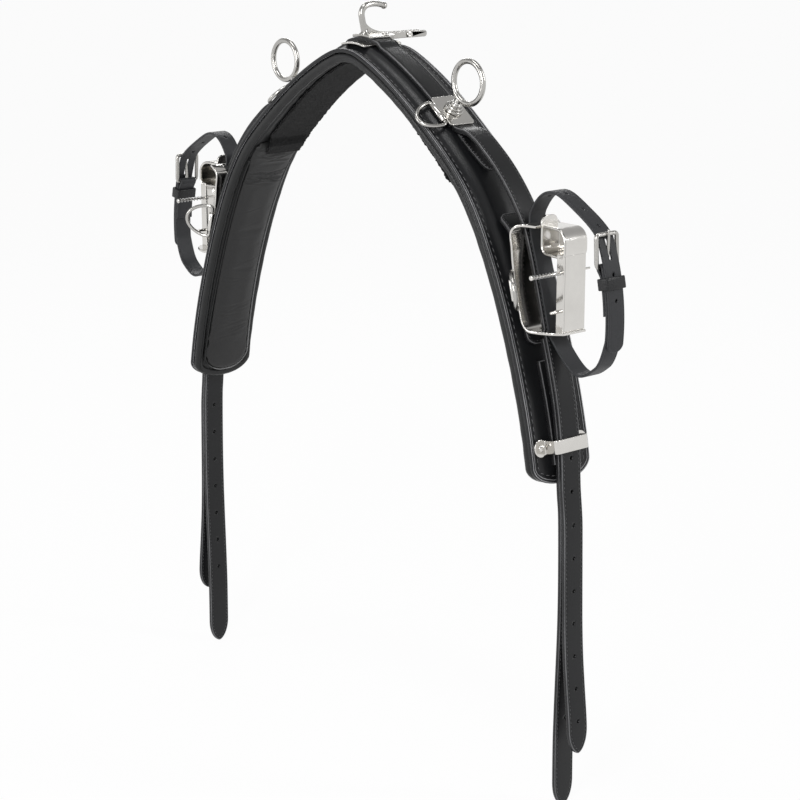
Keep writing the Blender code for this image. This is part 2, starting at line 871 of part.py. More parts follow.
def screw_holes(radius):
    """Holes for the two hook screws, in arch distances."""
    half = hook_screw_spread / 2
    return [circle_outline(side * half, hook_screw_rear, radius) for side in (-1, 1)]


def terret_holes(radius):
    """Holes for the two terret shanks, in arch distances."""
    return [circle_outline(side * terret_place, 0, radius) for side in (-1, 1)]


def ridge_lift(along, across):
    """Height of the raised ridge that covers the tree."""
    flat_length = tree_half_length + touch_gap
    fade = min(max(1 - (abs(along) - flat_length) / ridge_fade, 0), 1)
    side = min(max((ridge_half + ridge_shoulder - abs(across)) / ridge_shoulder, 0), 1)
    return ridge_height * fade * side


def hump_lift(along, across):
    """The ridge strap's rise over the crown plate."""
    half = crown_plate_length / 2 + strap_bend
    return hump * min(max(1 - (abs(along) - half) / strap_bend / 2, 0), 1)


def make_skirt():
    """Outer leather band with its raised ridge."""
    rivets = []
    for side in (-1, 1):
        for across in (-1, 1):
            rivets.append(circle_outline(
                side * keeper_place, across * keeper_foot_reach, rivet_radius + pin_clearance))
    holes = terret_holes(terret_shank_radius + pin_clearance)
    holes += screw_holes(screw_radius + pin_clearance) + rivets
    flat_length = tree_half_length + touch_gap
    arch_piece(
        "saddle_skirt",
        strap_outline(-arch_half_length, arch_half_length, skirt_width, skirt_end_depth, skirt_end_depth),
        holes, skirt_thickness, -skirt_thickness, "skirt_leather",
        cuts=mirrored([flat_length, flat_length + ridge_fade]),
        side_cuts=mirrored([ridge_half, ridge_half + ridge_shoulder]),
        lift=ridge_lift)


def make_tree():
    """Hidden spring strip under the ridge."""
    holes = terret_holes(terret_shank_radius + pin_clearance) + screw_holes(screw_radius + pin_clearance)
    arch_piece(
        "saddle_tree", strap_outline(-tree_half_length, tree_half_length, tree_width), holes,
        tree_thickness, tree_low, "spring_steel")


def make_panel():
    """Padded underside with a pocket for each terret nut."""
    panel = arch_piece(
        "saddle_panel",
        strap_outline(-arch_half_length, arch_half_length, panel_width, panel_end_depth, panel_end_depth),
        (), panel_thickness, panel_low, "pad_leather")
    pockets = []
    frame = arch_frame(terret_place)
    mirror = Matrix.Diagonal((-1, 1, 1, 1))
    depth = terret_nut_height + terret_nut_room
    radius = terret_nut_radius + terret_nut_room
    for place in (frame, mirror @ frame):
        high = place @ Vector((0, 0, panel_top + cut_overrun))
        low = place @ Vector((0, 0, panel_top - depth))
        pockets.append(rod("pocket", low, high, radius, "pad_leather"))
    combine(panel, pockets, "DIFFERENCE")


def make_lining():
    """Felt strip under the crown, lying a little askew."""
    half = lining_width / 2
    outline = []
    for along, across in ((-1, -1), (1, -1), (1, 1), (-1, 1)):
        outline.append((along * lining_half_length, across * half - along * lining_skew))
    arch_piece("crown_lining", outline, (), lining_thickness, lining_low, "felt")


def make_ridge_strap():
    """Strap on top from terret to terret, humped over the crown plate."""
    holes = terret_holes(terret_shank_radius + pin_clearance) + screw_holes(screw_radius + pin_clearance)
    bends = [crown_plate_length / 2 + strap_bend, crown_plate_length / 2 + 3 * strap_bend]
    arch_piece(
        "ridge_strap", strap_outline(-ridge_strap_half, ridge_strap_half, ridge_strap_width), holes,
        strap_thickness, strap_base, "black_leather", cuts=mirrored(bends), lift=hump_lift)


def make_crown_plate():
    """Metal plate between the ridge strap and the skirt at the crown."""
    half = crown_plate_length / 2
    outline = box_outline(
        -half, half, crown_plate_shift - crown_plate_width / 2, crown_plate_shift + crown_plate_width / 2,
        (crown_plate_corner,) * 4)
    arch_piece(
        "crown_plate", outline, screw_holes(screw_radius + pin_clearance), crown_plate_thickness,
        strap_base, "polished_steel")


def make_check_hook():
    """Hook with its ball end, gusset, base and rear fork, in one piece."""
    half = hook_base_length / 2
    outline = box_outline(
        -half, half, hook_base_front, hook_base_front + hook_base_width, (hook_base_corner,) * 4)
    hook = arch_piece(
        "check_hook", outline, screw_holes(screw_radius + pin_clearance), hook_base_thickness,
        hook_base_low, "polished_steel")
    base_z = crown_top_z + hook_base_top
    line = [(y * hook_height, base_z + z * hook_height) for y, z in hook_line_shares]
    curl = smooth_points(line, 3)
    bend = wire("curl", [(0, point.x, point.y) for point in curl], hook_wire / 2, "polished_steel")
    bm = bmesh.new()
    tip = curl[-1]
    bmesh.ops.create_uvsphere(
        bm, u_segments=12, v_segments=8, radius=hook_ball_radius,
        matrix=Matrix.Translation((0, tip.x, tip.y)))
    ball = bmesh_object("ball", bm, "polished_steel")
    foot = base_z - hook_base_thickness / 2
    foot_rear = hook_base_front + hook_base_width
    post = hook_line_shares[1][0] * hook_height
    gusset = [(post, foot), (foot_rear, foot)]
    for step in range(6):
        angle = pi / 2 * step / 5
        rise = gusset_height * (1 - cos(angle)) + hook_base_thickness
        gusset.append((foot_rear - (foot_rear - post) * sin(angle), foot + rise))
    web = prism("web", gusset, gusset_thickness, plane_yz(), "polished_steel")
    cheeks = []
    start = ridge_strap_width / 2 + fork_start_gap
    low = base_z - fork_height
    radius = fork_height / 2
    cheek = box_outline(
        start, start + fork_length, low, base_z, (0, radius - weld_distance, radius - weld_distance, 0))
    for side in (-1, 1):
        x = side * (fork_gap + fork_cheek) / 2
        cheeks.append(prism("cheek", cheek, fork_cheek, plane_yz(x), "polished_steel"))
    bridge = box_outline(start, start + fork_bridge, low, base_z - fork_bridge_drop)
    cheeks.append(prism("bridge", bridge, fork_gap + fork_cheek, plane_yz(), "polished_steel"))
    combine(hook, [bend, ball, web, *cheeks], "UNION")
    y = fork_screw_place
    z = base_z - fork_height / 2
    reach = fork_gap / 2 + fork_cheek
    hole = rod(
        "hole", (-reach - cut_overrun, y, z), (reach + cut_overrun, y, z), screw_radius + pin_clearance,
        "polished_steel", sides=12)
    combine(hook, [hole], "DIFFERENCE")
    head = reach + touch_gap
    profile = [
        (0, head + screw_head_height), (screw_head_radius * screw_flat_share, head + screw_head_height),
        (screw_head_radius, head + screw_head_height * screw_edge_share), (screw_head_radius, head),
        (screw_radius, head), (screw_radius, -reach - screw_head_height),
        (0, -reach - screw_head_height),
    ]
    matrix = Matrix.Translation((0, y, z)) @ Matrix.Rotation(pi / 2, 4, "Y")
    turned("crupper_screw", profile, matrix, "polished_steel", sides=12)


def make_hook_screws():
    """The screws that hold the hook down to the tree."""
    for side, name in ((1, "hook_screw_left"), (-1, "hook_screw_right")):
        frame = arch_frame(hook_screw_spread / 2) @ Matrix.Translation((0, hook_screw_rear, 0))
        if side < 0:
            frame = Matrix.Diagonal((-1, 1, 1, 1)) @ frame
        head = hook_base_top + touch_gap
        profile = [
            (0, head + screw_head_height), (screw_head_radius * screw_flat_share, head + screw_head_height),
            (screw_head_radius, head + screw_head_height * screw_edge_share), (screw_head_radius, head),
            (screw_radius, head), (screw_radius, tree_low + touch_gap), (0, tree_low + touch_gap),
        ]
        turned(name, profile, frame, "polished_steel", sides=10)


# The left side; the right side is mirrored from it

def make_cushion():
    """Raised cushion on the inner face: crowned, with drawn-in sides and rounded ends."""
    end = arch_half_length - cushion_end_margin
    top = panel_low - touch_gap
    rounds = [cushion_round * share for share in cushion_round_shares]
    places = [cushion_start, *(cushion_start + step for step in rounds)]
    places += [place for place in arch_line.distances
               if cushion_start + cushion_round < place < end - cushion_round]
    places += [*(end - step for step in reversed(rounds)), end]
    bm = bmesh.new()
    rings = []
    for place in places:
        share = (place - cushion_start) / (end - cushion_start)
        near_end = min(place - cushion_start, end - place) / cushion_round
        fullness = (1 - (1 - min(near_end, 1)) ** 2) ** 0.5
        half = cushion_width / 2 - cushion_waist * sin(pi * share)
        half *= cushion_end_share + (1 - cushion_end_share) * fullness
        crown = cushion_crown * (cushion_end_crown_share + (1 - cushion_end_crown_share) * fullness)
        foot = half * cushion_foot_share
        ring = [(-foot, 0)]
        for step in range(9):
            angle = pi * step / 8
            rise = (crown - cushion_edge) * sin(angle) ** cushion_side_share
            ring.append((-half * cos(angle), cushion_edge + rise))
        ring.append((foot, 0))
        verts = []
        for across, depth in ring:
            point = arch_point(place, top - depth)
            verts.append(bm.verts.new((point.x, across, point.y)))
        rings.append(verts)
    for before, after in zip(rings, rings[1:]):
        count = len(before)
        for index in range(count):
            follow = (index + 1) % count
            bm.faces.new((before[index], before[follow], after[follow], after[index]))
    bm.faces.new(rings[0])
    bm.faces.new(reversed(rings[-1]))
    bmesh.ops.triangulate(bm, faces=bm.faces)
    bmesh_object("left_pad_cushion", bm, "pad_leather", smooth=True)


def make_terret():
    """Plate with its rolled barrel, ring with collar and post, nut and D ring."""
    half = terret_plate_length / 2
    outline = box_outline(
        terret_place - half, terret_place + half, terret_plate_front,
        terret_plate_front + terret_plate_width, (terret_plate_corner,) * 4)
    hole = circle_outline(terret_place, 0, terret_shank_radius + pin_clearance, 12)
    plate = arch_piece(
        "left_terret_plate", outline, [hole], terret_plate_thickness, terret_plate_base, "polished_steel")
    frame = arch_frame(terret_place)
    barrel_y = terret_plate_front + barrel_overlap - barrel_radius
    barrel_h = terret_plate_top + barrel_rise - barrel_radius
    side = barrel_length / 2
    barrel = rod(
        "barrel", frame @ Vector((-side, barrel_y, barrel_h)), frame @ Vector((side, barrel_y, barrel_h)),
        barrel_radius, "polished_steel")
    combine(plate, [barrel], "UNION")
    reach = half + cut_overrun
    bore = rod(
        "bore", frame @ Vector((-reach, barrel_y, barrel_h)), frame @ Vector((reach, barrel_y, barrel_h)),
        dee_wire / 2 + pin_clearance, "polished_steel", sides=12)
    combine(plate, [bore], "DIFFERENCE")

    collar = terret_plate_top + touch_gap
    ring_centre = terret_plate_top + terret_rise
    major = (terret_ring_diameter - terret_wire) / 2
    heights = [collar]
    for step in collar_steps:
        heights.append(heights[-1] + step)
    profile = [(0, ring_centre - major), (terret_wire * ring_foot_share, ring_centre - major)]
    profile += [(terret_neck_radius, heights[3] + collar_steps[0]), (terret_neck_radius, heights[3])]
    for index in (2, 1, 0):
        profile += [(collar_radii[index], heights[index + 1] - collar_edge),
                    (collar_radii[index], heights[index])]
    shank_end = panel_top - terret_nut_height - touch_gap
    profile += [(terret_shank_radius, collar), (terret_shank_radius, shank_end), (0, shank_end)]
    ring = turned("left_terret_ring", profile, frame, "polished_steel")
    circle = []
    for step in range(ring_steps):
        angle = 2 * pi * step / ring_steps
        circle.append(frame @ Vector((major * cos(angle), 0, ring_centre + major * sin(angle))))
    loop = wire("loop", circle, terret_wire / 2, "polished_steel", cyclic=True)
    combine(ring, [loop], "UNION")

    outline = circle_outline(0, 0, terret_nut_radius, 6)
    hole = circle_outline(0, 0, terret_shank_radius + pin_clearance, 12)
    bm = flat_pattern(outline, [hole], terret_nut_height)
    bmesh.ops.triangulate(bm, faces=bm.faces)
    place = Matrix.Translation((0, 0, panel_top - terret_nut_height / 2))
    bmesh.ops.transform(bm, matrix=frame @ place, verts=bm.verts)
    bmesh_object("left_terret_nut", bm, "polished_steel")

    tilt = terret_dee_tilt
    points = []
    for along, out in dee_points(dee_span, dee_depth, dee_corner):
        points.append(frame @ Vector((along, barrel_y - out * cos(tilt), barrel_h - out * sin(tilt))))
    dee = wire("left_terret_dee", points, dee_wire / 2, "polished_steel", cyclic=True)
    set_origin(dee, frame @ Vector((0, barrel_y, barrel_h)))


def billet_squeeze(along):
    """Rounds the hinge end of a billet across its thickness."""
    half = billet_thickness / 2
    if along >= 0:
        return 1
    return max(1 - (along / half) ** 2, hinge_edge_share) ** 0.5


def make_straps():
    """Side strap, under strap, tuck and the two leather safes."""
    line = side_strap_line
    end = line.length - billet_thickness / 2 - hinge_gap
    holes = []
    for index in (1, 2):
        along = line.length + billet_first_hole - billet_hole_pitch * index
        holes.append(circle_outline(along, 0, billet_hole_radius))
    line_piece(
        "left_side_strap", line, strap_outline(strap_end_gap, end, side_strap_width), holes,
        strap_thickness, -strap_thickness / 2, "black_leather")
    start = line.nearest(arch_point(under_strap_start, side_strap_height(under_strap_start)))
    line_piece(
        "left_under_strap", line, strap_outline(start, end, side_strap_width), (), strap_thickness,
        -strap_thickness * 3 / 2 - touch_gap, "black_leather")

    def tuck_rise(along, across):
        share = (along - tuck_start) / (tuck_end - tuck_start)
        return (tuck_lift - strap_base) * share ** 2

    half = tuck_width / 2
    shoulder = tuck_end - tuck_point
    front, middle, rear = (half * share for share in tuck_point_shares)
    outline = [
        (tuck_start, -half), (shoulder, -half), (tuck_end, -front), (tuck_end, -middle),
        (shoulder, rear), (tuck_start, half),
    ]
    cuts = [tuck_start + tuck_length * step / tuck_bends for step in range(1, tuck_bends)]
    arch_piece(
        "left_strap_tuck", outline, (), tuck_thickness, strap_base, "black_leather", cuts=cuts,
        lift=tuck_rise)
    arch_piece(
        "left_strap_safe", strap_outline(strap_safe_start, strap_safe_end, strap_safe_width), (),
        strap_safe_thickness, touch_gap, "black_leather")
    middle = line.nearest(coupler_origin)
    points = []
    for along_share, out_share in safe_line_shares:
        points.append(line.offset(middle + along_share * frame_height, out_share * frame_width))
    safe = BendLine(smooth_points(points, 2))
    line_piece(
        "left_coupler_safe", safe,
        strap_outline(0, safe.length, coupler_safe_width, safe_end_depth, safe_end_depth, safe_shift), (),
        safe_thickness, -safe_inset, "black_leather")


def slot_between(line, first, first_height, second, second_height, upper):
    """Start and length of a slot in a line, between two rails that cross it."""
    index = 0 if upper else -1
    marks = [line.crossings(first, first_height)[index], line.crossings(second, second_height)[index]]
    return min(marks) - slot_clearance, max(marks) + slot_clearance


def make_coupler():
    """Sheet frame, tug socket, channel plate, lug and knuckle, welded into one piece."""
    frame_points = [coupler_point(*share) for share in frame_line_shares]
    steps = 2
    smooth = smooth_points(frame_points, steps)
    line = BendLine(smooth)
    front = []
    rear = []
    for index, share in enumerate(frame_front_shares):
        along = line.distances[index * steps]
        front.append((along, -frame_front * share))
    rear = [(line.length, frame_rear - frame_rear_inset), (0, frame_rear - frame_rear_inset)]
    inset = [(line.distances[2], frame_rear), (line.distances[-5], frame_rear)]
    outline = front + [rear[0], inset[1], inset[0], rear[1]]
    strap_low = -strap_thickness - slot_clearance
    wrap_high = -(wrap_thickness / 2 + slot_clearance)
    slots = []
    for upper in (True, False):
        start, end = slot_between(line, side_strap_line, strap_low, wrap_line, wrap_high, upper)
        slots.append(box_outline(start, end, -slot_width / 2, slot_width / 2))
    sheet = line_piece("left_coupler_body", line, outline, slots, frame_sheet, 0, "polished_steel")

    centre = coupler_origin + Vector((socket_middle, socket_rise))
    left = centre.x - socket_width / 2
    right = centre.x + socket_width / 2
    low = centre.y - socket_height / 2
    high = centre.y + socket_height / 2
    corners = (socket_corners[1], socket_corners[2], socket_corners[3], socket_corners[0])
    outer = box_outline(left, right, low, high, corners, 4)
    depth = channel_rear + channel_front + socket_slant
    middle = channel_rear - depth / 2
    bm = flat_pattern(outer, (), depth)
    bmesh.ops.triangulate(bm, faces=bm.faces)
    bmesh.ops.transform(bm, matrix=plane_xz(middle), verts=bm.verts)
    slant = Vector((-socket_slant, -socket_width, 0)).normalized()
    result = bmesh.ops.bisect_plane(
        bm, geom=bm.verts[:] + bm.edges[:] + bm.faces[:], dist=weld_distance,
        plane_co=(right, -channel_front, centre.y), plane_no=slant, clear_outer=True)
    rim = [item for item in result["geom_cut"] if isinstance(item, bmesh.types.BMEdge)]
    bmesh.ops.holes_fill(bm, edges=rim)
    bmesh.ops.triangulate(bm, faces=bm.faces)
    socket = bmesh_object("socket", bm, "polished_steel")

    face = coupler_origin.x + channel_face
    inner = face - channel_depth
    bottom = coupler_point(0, frame_line_shares[-1][1]).y
    top = low + socket_wall * channel_top_share
    skin = channel_sheet
    channel_outline = [
        (inner, -channel_front), (face, -channel_front), (face, channel_rear), (inner, channel_rear),
        (inner, channel_rear - skin), (face - skin, channel_rear - skin),
        (face - skin, skin - channel_front), (inner, skin - channel_front),
    ]
    place = Matrix.Translation((0, 0, (top + bottom) / 2))
    channel = prism("channel", channel_outline, top - bottom, place, "polished_steel")
    lug_z = high - socket_wall / 2
    lug_half = lug_length / 2
    lug_round = lug_height * lug_round_share
    lug_outline = box_outline(
        -lug_half, lug_half, lug_z, high + lug_height, (0, 0, lug_round, lug_round))
    lug_x = left + socket_corners[0] + lug_sheet / 2
    lug = prism("lug", lug_outline, lug_sheet, plane_yz(lug_x), "polished_steel")
    centre_k, direction_k = knuckle_frame()
    ends = [centre_k - direction_k * knuckle_length / 2, centre_k + direction_k * knuckle_length / 2]
    knuckle = rod("knuckle", ends[0], ends[1], knuckle_radius, "polished_steel")
    combine(sheet, [socket, channel, lug, knuckle], "UNION")

    wall = socket_wall
    inner_corners = [max(radius - wall, touch_gap) for radius in corners]
    cavity_outline = box_outline(left + wall, right - wall, low + wall, high - wall, inner_corners, 4)
    cavity_depth = depth - wall + cut_overrun * 2
    cavity_middle = channel_rear - wall - cavity_depth / 2
    cavity = prism("cavity", cavity_outline, cavity_depth, plane_xz(cavity_middle), "polished_steel")
    back_hole = rod(
        "hole", (centre.x, channel_rear - wall * 2, centre.y),
        (centre.x, channel_rear + cut_overrun, centre.y),
        socket_back_hole, "polished_steel")
    reach = direction_k * (knuckle_length / 2 + cut_overrun)
    bore = rod(
        "bore", centre_k - reach, centre_k + reach, dee_wire / 2 + pin_clearance, "polished_steel",
        sides=12)
    pin_x = face - channel_sheet - pin_inset
    cutters = [cavity, back_hole, bore]
    pin_z = coupler_origin.y - pin_drop
    cutters.append(rod(
        "pin_hole", (pin_x, -channel_front - cut_overrun, pin_z),
        (pin_x, channel_rear + cut_overrun, pin_z),
        pin_radius + pin_clearance, "polished_steel", sides=10))
    stop_z = coupler_origin.y - stop_pin_drop
    cutters.append(rod(
        "stop_hole", (pin_x, -channel_front - cut_overrun, stop_z),
        (pin_x, -channel_front + channel_sheet + cut_overrun, stop_z),
        stop_pin_radius + pin_clearance, "polished_steel", sides=10))
    combine(sheet, cutters, "DIFFERENCE")
    make_latch(pin_x, pin_z, stop_z)
    make_coupler_dee(centre_k, direction_k)


def knuckle_frame():
    """Middle and direction of the coupler's knuckle, which follows the frame's wall."""
    centre = coupler_origin + Vector((knuckle_shift, -knuckle_drop))
    direction = Vector((sin(knuckle_lean), 0, -cos(knuckle_lean)))
    return Vector((centre.x, -knuckle_front, centre.y)), direction


def make_coupler_dee(centre, direction):
    """D ring that swings in the knuckle."""
    side = Vector((cos(knuckle_lean), 0, sin(knuckle_lean)))
    forward = Vector((0, -1, 0))
    reach = side * cos(coupler_dee_turn) + forward * sin(coupler_dee_turn)
    points = []
    for along, out in dee_points(coupler_dee_span, coupler_dee_depth, dee_corner):
        points.append(centre + direction * along + reach * out)
    dee = wire("left_coupler_dee", points, dee_wire / 2, "polished_steel", cyclic=True)
    set_origin(dee, centre)


def make_latch(x, z, stop_z):
    """Spring latch pin through both flanges, its spring, and the fixed stop pin."""
    collar = -channel_front + channel_sheet + touch_gap
    profile = [
        (0, pin_front), (pin_head_radius * pin_flat_share, pin_front),
        (pin_head_radius, pin_front - pin_head_length / 2),
        (pin_head_radius, pin_front - pin_head_length), (pin_radius, pin_front - pin_head_length),
        (pin_radius, -collar), (pin_head_radius, -collar), (pin_head_radius, -collar - pin_head_length),
        (pin_radius, -collar - pin_head_length), (pin_radius, -pin_rear), (0, -pin_rear),
    ]
    matrix = Matrix.Translation((x, 0, z)) @ Matrix.Rotation(pi / 2, 4, "X")
    pin = turned("left_latch_pin", profile, matrix, "polished_steel", sides=12)
    set_origin(pin, (x, 0, z))
    start = -pin_front + pin_head_length + touch_gap + spring_wire / 2
    end = -channel_front - touch_gap - spring_wire / 2
    count = spring_turns * spring_points_per_turn
    points = []
    for step in range(count + 1):
        angle = 2 * pi * step / spring_points_per_turn
        y = start + (end - start) * step / count
        points.append(Vector((x + spring_radius * cos(angle), y, z + spring_radius * sin(angle))))
    least = 1e9
    for index, point in enumerate(points):
        for other in points[index + spring_points_per_turn // 2:]:
            least = min(least, (point - other).length - spring_wire)
    print("latch_spring least gap to itself, mm:", round(least * 1000, 2))
    wire("left_latch_spring", points, spring_wire / 2, "spring_steel", resolution=1)
    head_y = collar + stop_head_length
    profile = [
        (0, stop_pin_front), (stop_pin_radius * pin_flat_share, stop_pin_front),
        (stop_pin_radius, stop_pin_front - stop_pin_radius / 2), (stop_pin_radius, -collar),
        (stop_head_radius, -collar), (stop_head_radius, -head_y), (0, -head_y),
    ]
    matrix = Matrix.Translation((x, 0, stop_z)) @ Matrix.Rotation(pi / 2, 4, "X")
    turned("left_stop_pin", profile, matrix, "polished_steel", sides=12)


def make_wrap():
    """Wrap strap with its buckle, tongue and sliding keeper."""
    tail_start = wrap_line.length - tail_radius * (tail_start_angle - tail_end_angle)

    def tail_place(angle):
        return tail_start + (tail_start_angle - angle) * tail_radius

    slot_middle = tail_place(tongue_slot_angle)
    half_slot = tongue_slot_length / 2
    half_width = tongue_slot_width / 2
    corners = (half_width * slot_round_share,) * 4
    holes = [box_outline(
        slot_middle - half_slot, slot_middle + half_slot, -half_width, half_width, corners)]
    for index in range(1, wrap_holes_above + 1):
        holes.append(circle_outline(slot_middle - index * wrap_hole_pitch, 0, wrap_hole_radius))
    for index in range(1, wrap_holes_below + 1):
        holes.append(circle_outline(slot_middle + index * wrap_hole_pitch, 0, wrap_hole_radius))
    bar = wrap_point(buckle_bar_radius_place, buckle_bar_angle)
    top_of_fold = bar + Vector((-sin(buckle_bar_angle), cos(buckle_bar_angle))) * fold_radius
    fold_middle = nearest_from(wrap_line, top_of_fold, 0, tail_start / 4)
    half_fold = fold_slot_length / 2
    holes.append(box_outline(
        fold_middle - half_fold, fold_middle + half_fold, -half_width, half_width, corners))
    line_piece(
        "left_wrap_strap", wrap_line,
        strap_outline(0, wrap_line.length, wrap_width, 0, wrap_tip_depth), holes, wrap_thickness, 0,
        "black_leather")

    top = wrap_point(buckle_top_radius_place, buckle_top_angle)
    half = buckle_width / 2
    corner = buckle_corner
    rise = top - bar
    unit = rise.normalized() * corner
    loop = []
    for base, step, side in ((bar, unit, -1), (top, -unit, -1), (top, -unit, 1), (bar, unit, 1)):
        near = base + step
        middle = base + step * bend_share
        bends = [
            Vector((base.x, side * (half - corner), base.y)),
            Vector((middle.x, side * (half - corner * bend_share), middle.y)),
            Vector((near.x, side * half, near.y)),
        ]
        order = bends if (side < 0) == (base is bar) else list(reversed(bends))
        loop += order
    wire("left_wrap_buckle", loop, buckle_bar_radius, "polished_steel", cyclic=True)

    eye_inner = buckle_bar_radius + pin_clearance
    eye_outer = eye_inner + tongue_eye_wall
    aim = wrap_point(buckle_top_radius_place + buckle_bar_radius + touch_gap + tongue_thickness / 2,
                     buckle_top_angle)
    direction = (aim - bar).normalized()
    reach = (aim - bar).length + tongue_overhang
    normal = Vector((direction.y, -direction.x))
    matrix = Matrix((
        (direction.x, normal.x, 0, bar.x), (0, 0, 1, 0), (direction.y, normal.y, 0, bar.y), (0, 0, 0, 1)))
    half = tongue_thickness / 2
    start = atan2(half, (eye_outer ** 2 - half ** 2) ** 0.5)
    eye = arc_points((0, 0), eye_outer, start, 2 * pi - start, eye_steps)
    tip = half * slot_round_share
    outline = [*eye, (reach - tip, -half), (reach, -half + tip), (reach, half - tip), (reach - tip, half)]
    hole = circle_outline(0, 0, eye_inner, eye_steps)
    tongue = prism("left_buckle_tongue", outline, tongue_width, matrix, "polished_steel", [hole])
    set_origin(tongue, (bar.x, 0, bar.y))
    make_wrap_keeper()


def nearest_from(line, place, start, end):
    """Distance of the line's point nearest to a place, looking only at one stretch."""
    best = (1e9, 0.0)
    for index in range(200):
        distance = start + (end - start) * index / 199
        best = min(best, ((line.at(distance)[0] - place).length, distance))
    return best[1]


def make_wrap_keeper():
    """Loop that slides along the wrap strap's outer run."""
    inner_low = chape_radius - wrap_thickness / 2 - keeper_loop_clearance
    inner_high = wrap_arc_radius + keeper_loop_clearance
    half = wrap_width / 2 + keeper_loop_clearance
    wall = keeper_loop_wall
    outer = box_outline(inner_low - wall, inner_high + wall, -half - wall, half + wall, (wall,) * 4, 2)
    hole = box_outline(inner_low, inner_high, -half, half, (wall / 3,) * 4, 1)
    bm = flat_pattern(outer, [hole], keeper_loop_length)
    half_turn = keeper_loop_length / 2 / wrap_arc_radius
    cut_height = keeper_loop_length / 6
    for place in (-cut_height, cut_height):
        bmesh.ops.bisect_plane(
            bm, geom=bm.verts[:] + bm.edges[:] + bm.faces[:], dist=weld_distance,
            plane_co=(0, 0, place), plane_no=(0, 0, 1))
    bmesh.ops.triangulate(bm, faces=bm.faces)
    for vertex in bm.verts:
        radius, across, out = vertex.co
        angle = keeper_loop_angle + out / (keeper_loop_length / 2) * half_turn
        point = wrap_point(radius, angle)
        vertex.co = (point.x, across, point.y)
    keeper = bmesh_object("left_wrap_keeper", bm, "black_leather")
    set_origin(keeper, (wrap_centre.x, 0, wrap_centre.y))


def make_strap_keeper():
    """Metal loop over the straps, with its two rivets in the skirt."""
    frame = arch_frame(keeper_place)
    middle = touch_gap + keeper_sheet / 2
    bar = side_strap_height(keeper_place) + keeper_rise + keeper_sheet / 2
    bend = keeper_bend
    part_bend = bend * bend_share
    path = [
        (-keeper_foot_reach - keeper_foot_radius, middle), (-keeper_leg - bend, middle),
        (-keeper_leg - part_bend, middle + part_bend), (-keeper_leg, middle + bend),
        (-keeper_leg, bar - bend), (-keeper_leg + part_bend, bar - part_bend),
        (-keeper_leg + bend, bar),
    ]
    path += [(-y, h) for y, h in reversed(path)]
    line = BendLine(path)
    half = keeper_length / 2
    radius = keeper_foot_radius
    start_angle = atan2(half, (radius ** 2 - half ** 2) ** 0.5)
    foot = []
    for step in range(11):
        angle = -start_angle - (2 * pi - 2 * start_angle) * step / 10
        foot.append((radius + radius * cos(angle), radius * sin(angle)))
    outline = foot + [(line.length - x, y) for x, y in reversed(foot)]
    holes = []
    for along in (radius, line.length - radius):
        holes.append(circle_outline(along, 0, rivet_radius + pin_clearance, 10))
    bm = flat_pattern(outline, holes, keeper_sheet)
    cut_pattern(bm, line.distances[1:-1])
    for vertex in bm.verts:
        along, across, out = vertex.co
        point = line.offset(along, out)
        vertex.co = frame @ Vector((across, point.x, point.y))
    bmesh_object("left_strap_keeper", bm, "polished_steel")
    for side, name in ((-1, "left_keeper_rivet_front"), (1, "left_keeper_rivet_rear")):
        base = touch_gap + keeper_sheet + touch_gap
        profile = [(0, base + rivet_head_height)]
        for step in range(1, 4):
            angle = pi / 2 * step / 3
            profile.append((rivet_head_radius * sin(angle), base + rivet_head_height * cos(angle)))
        profile += [(rivet_radius, base), (rivet_radius, rivet_end), (0, rivet_end)]
        place = frame @ Matrix.Translation((0, side * keeper_foot_reach, 0))
        turned(name, profile, place, "polished_steel", sides=12)


def make_billet(name, axis, length, sway, sway_shares):
    """A girth strap that hangs from its hinge axis, with its row of holes."""
    points = [axis + Vector((sway * amount, -length * share)) for share, amount in sway_shares]
    line = BendLine(points)
    start = -billet_thickness / 2
    half = billet_width / 2
    tip = billet_tip_length
    end = line.length
    side = [(end - tip * back, half * across) for back, across in billet_tip_shares]
    outline = [(start, -half), *((x, -y) for x, y in side), *reversed(side), (start, half)]
    room = length - billet_first_hole - tip
    holes = []
    for index in range(min(billet_hole_count, int(room / billet_hole_pitch) + 1)):
        along = billet_first_hole + billet_hole_pitch * index
        holes.append(circle_outline(along, 0, billet_hole_radius))
    cuts = [*(start * share for share in hinge_round_shares), 0]
    piece = line_piece(
        name, line, outline, holes, billet_thickness, 0, "black_leather", billet_squeeze, cuts)
    set_origin(piece, (axis.x, 0, axis.y))


def make_billets():
    """The outer short billet and the inner long one."""
    outer_height = -strap_thickness / 2
    inner_height = outer_height - strap_thickness - touch_gap
    line = side_strap_line
    make_billet(
        "left_short_billet", line.offset(line.length, outer_height), short_billet_length,
        short_billet_sway, short_sway_shares)
    make_billet(
        "left_long_billet", line.offset(line.length, inner_height), long_billet_length,
        long_billet_sway, long_sway_shares)


def mirror_left_side():
    """Each left piece gets a mirrored right one, its origin still on its joint axis."""
    for left in [piece for piece in bpy.data.collections["driving_harness"].objects
                 if piece.name.startswith("left_")]:
        mesh = left.data.copy()
        mesh.transform(Matrix.Diagonal((-1, 1, 1, 1)))
        mesh.flip_normals()
        mesh.name = left.name.replace("left_", "right_")
        right = bpy.data.objects.new(mesh.name, mesh)
        right.location = (-left.location.x, left.location.y, left.location.z)
        bpy.data.collections["driving_harness"].objects.link(right)


def main():
    start_scene()
    make_materials()
    make_skirt()
    make_tree()
    make_panel()
    make_lining()
    make_ridge_strap()
    make_crown_plate()
    make_check_hook()
    make_hook_screws()
    make_cushion()
    make_terret()
    make_straps()
    make_coupler()
    make_wrap()
    make_strap_keeper()
    make_billets()
    mirror_left_side()
    bpy.context.view_layer.update()
    print("objects:", len(bpy.data.collections["driving_harness"].objects))


main()
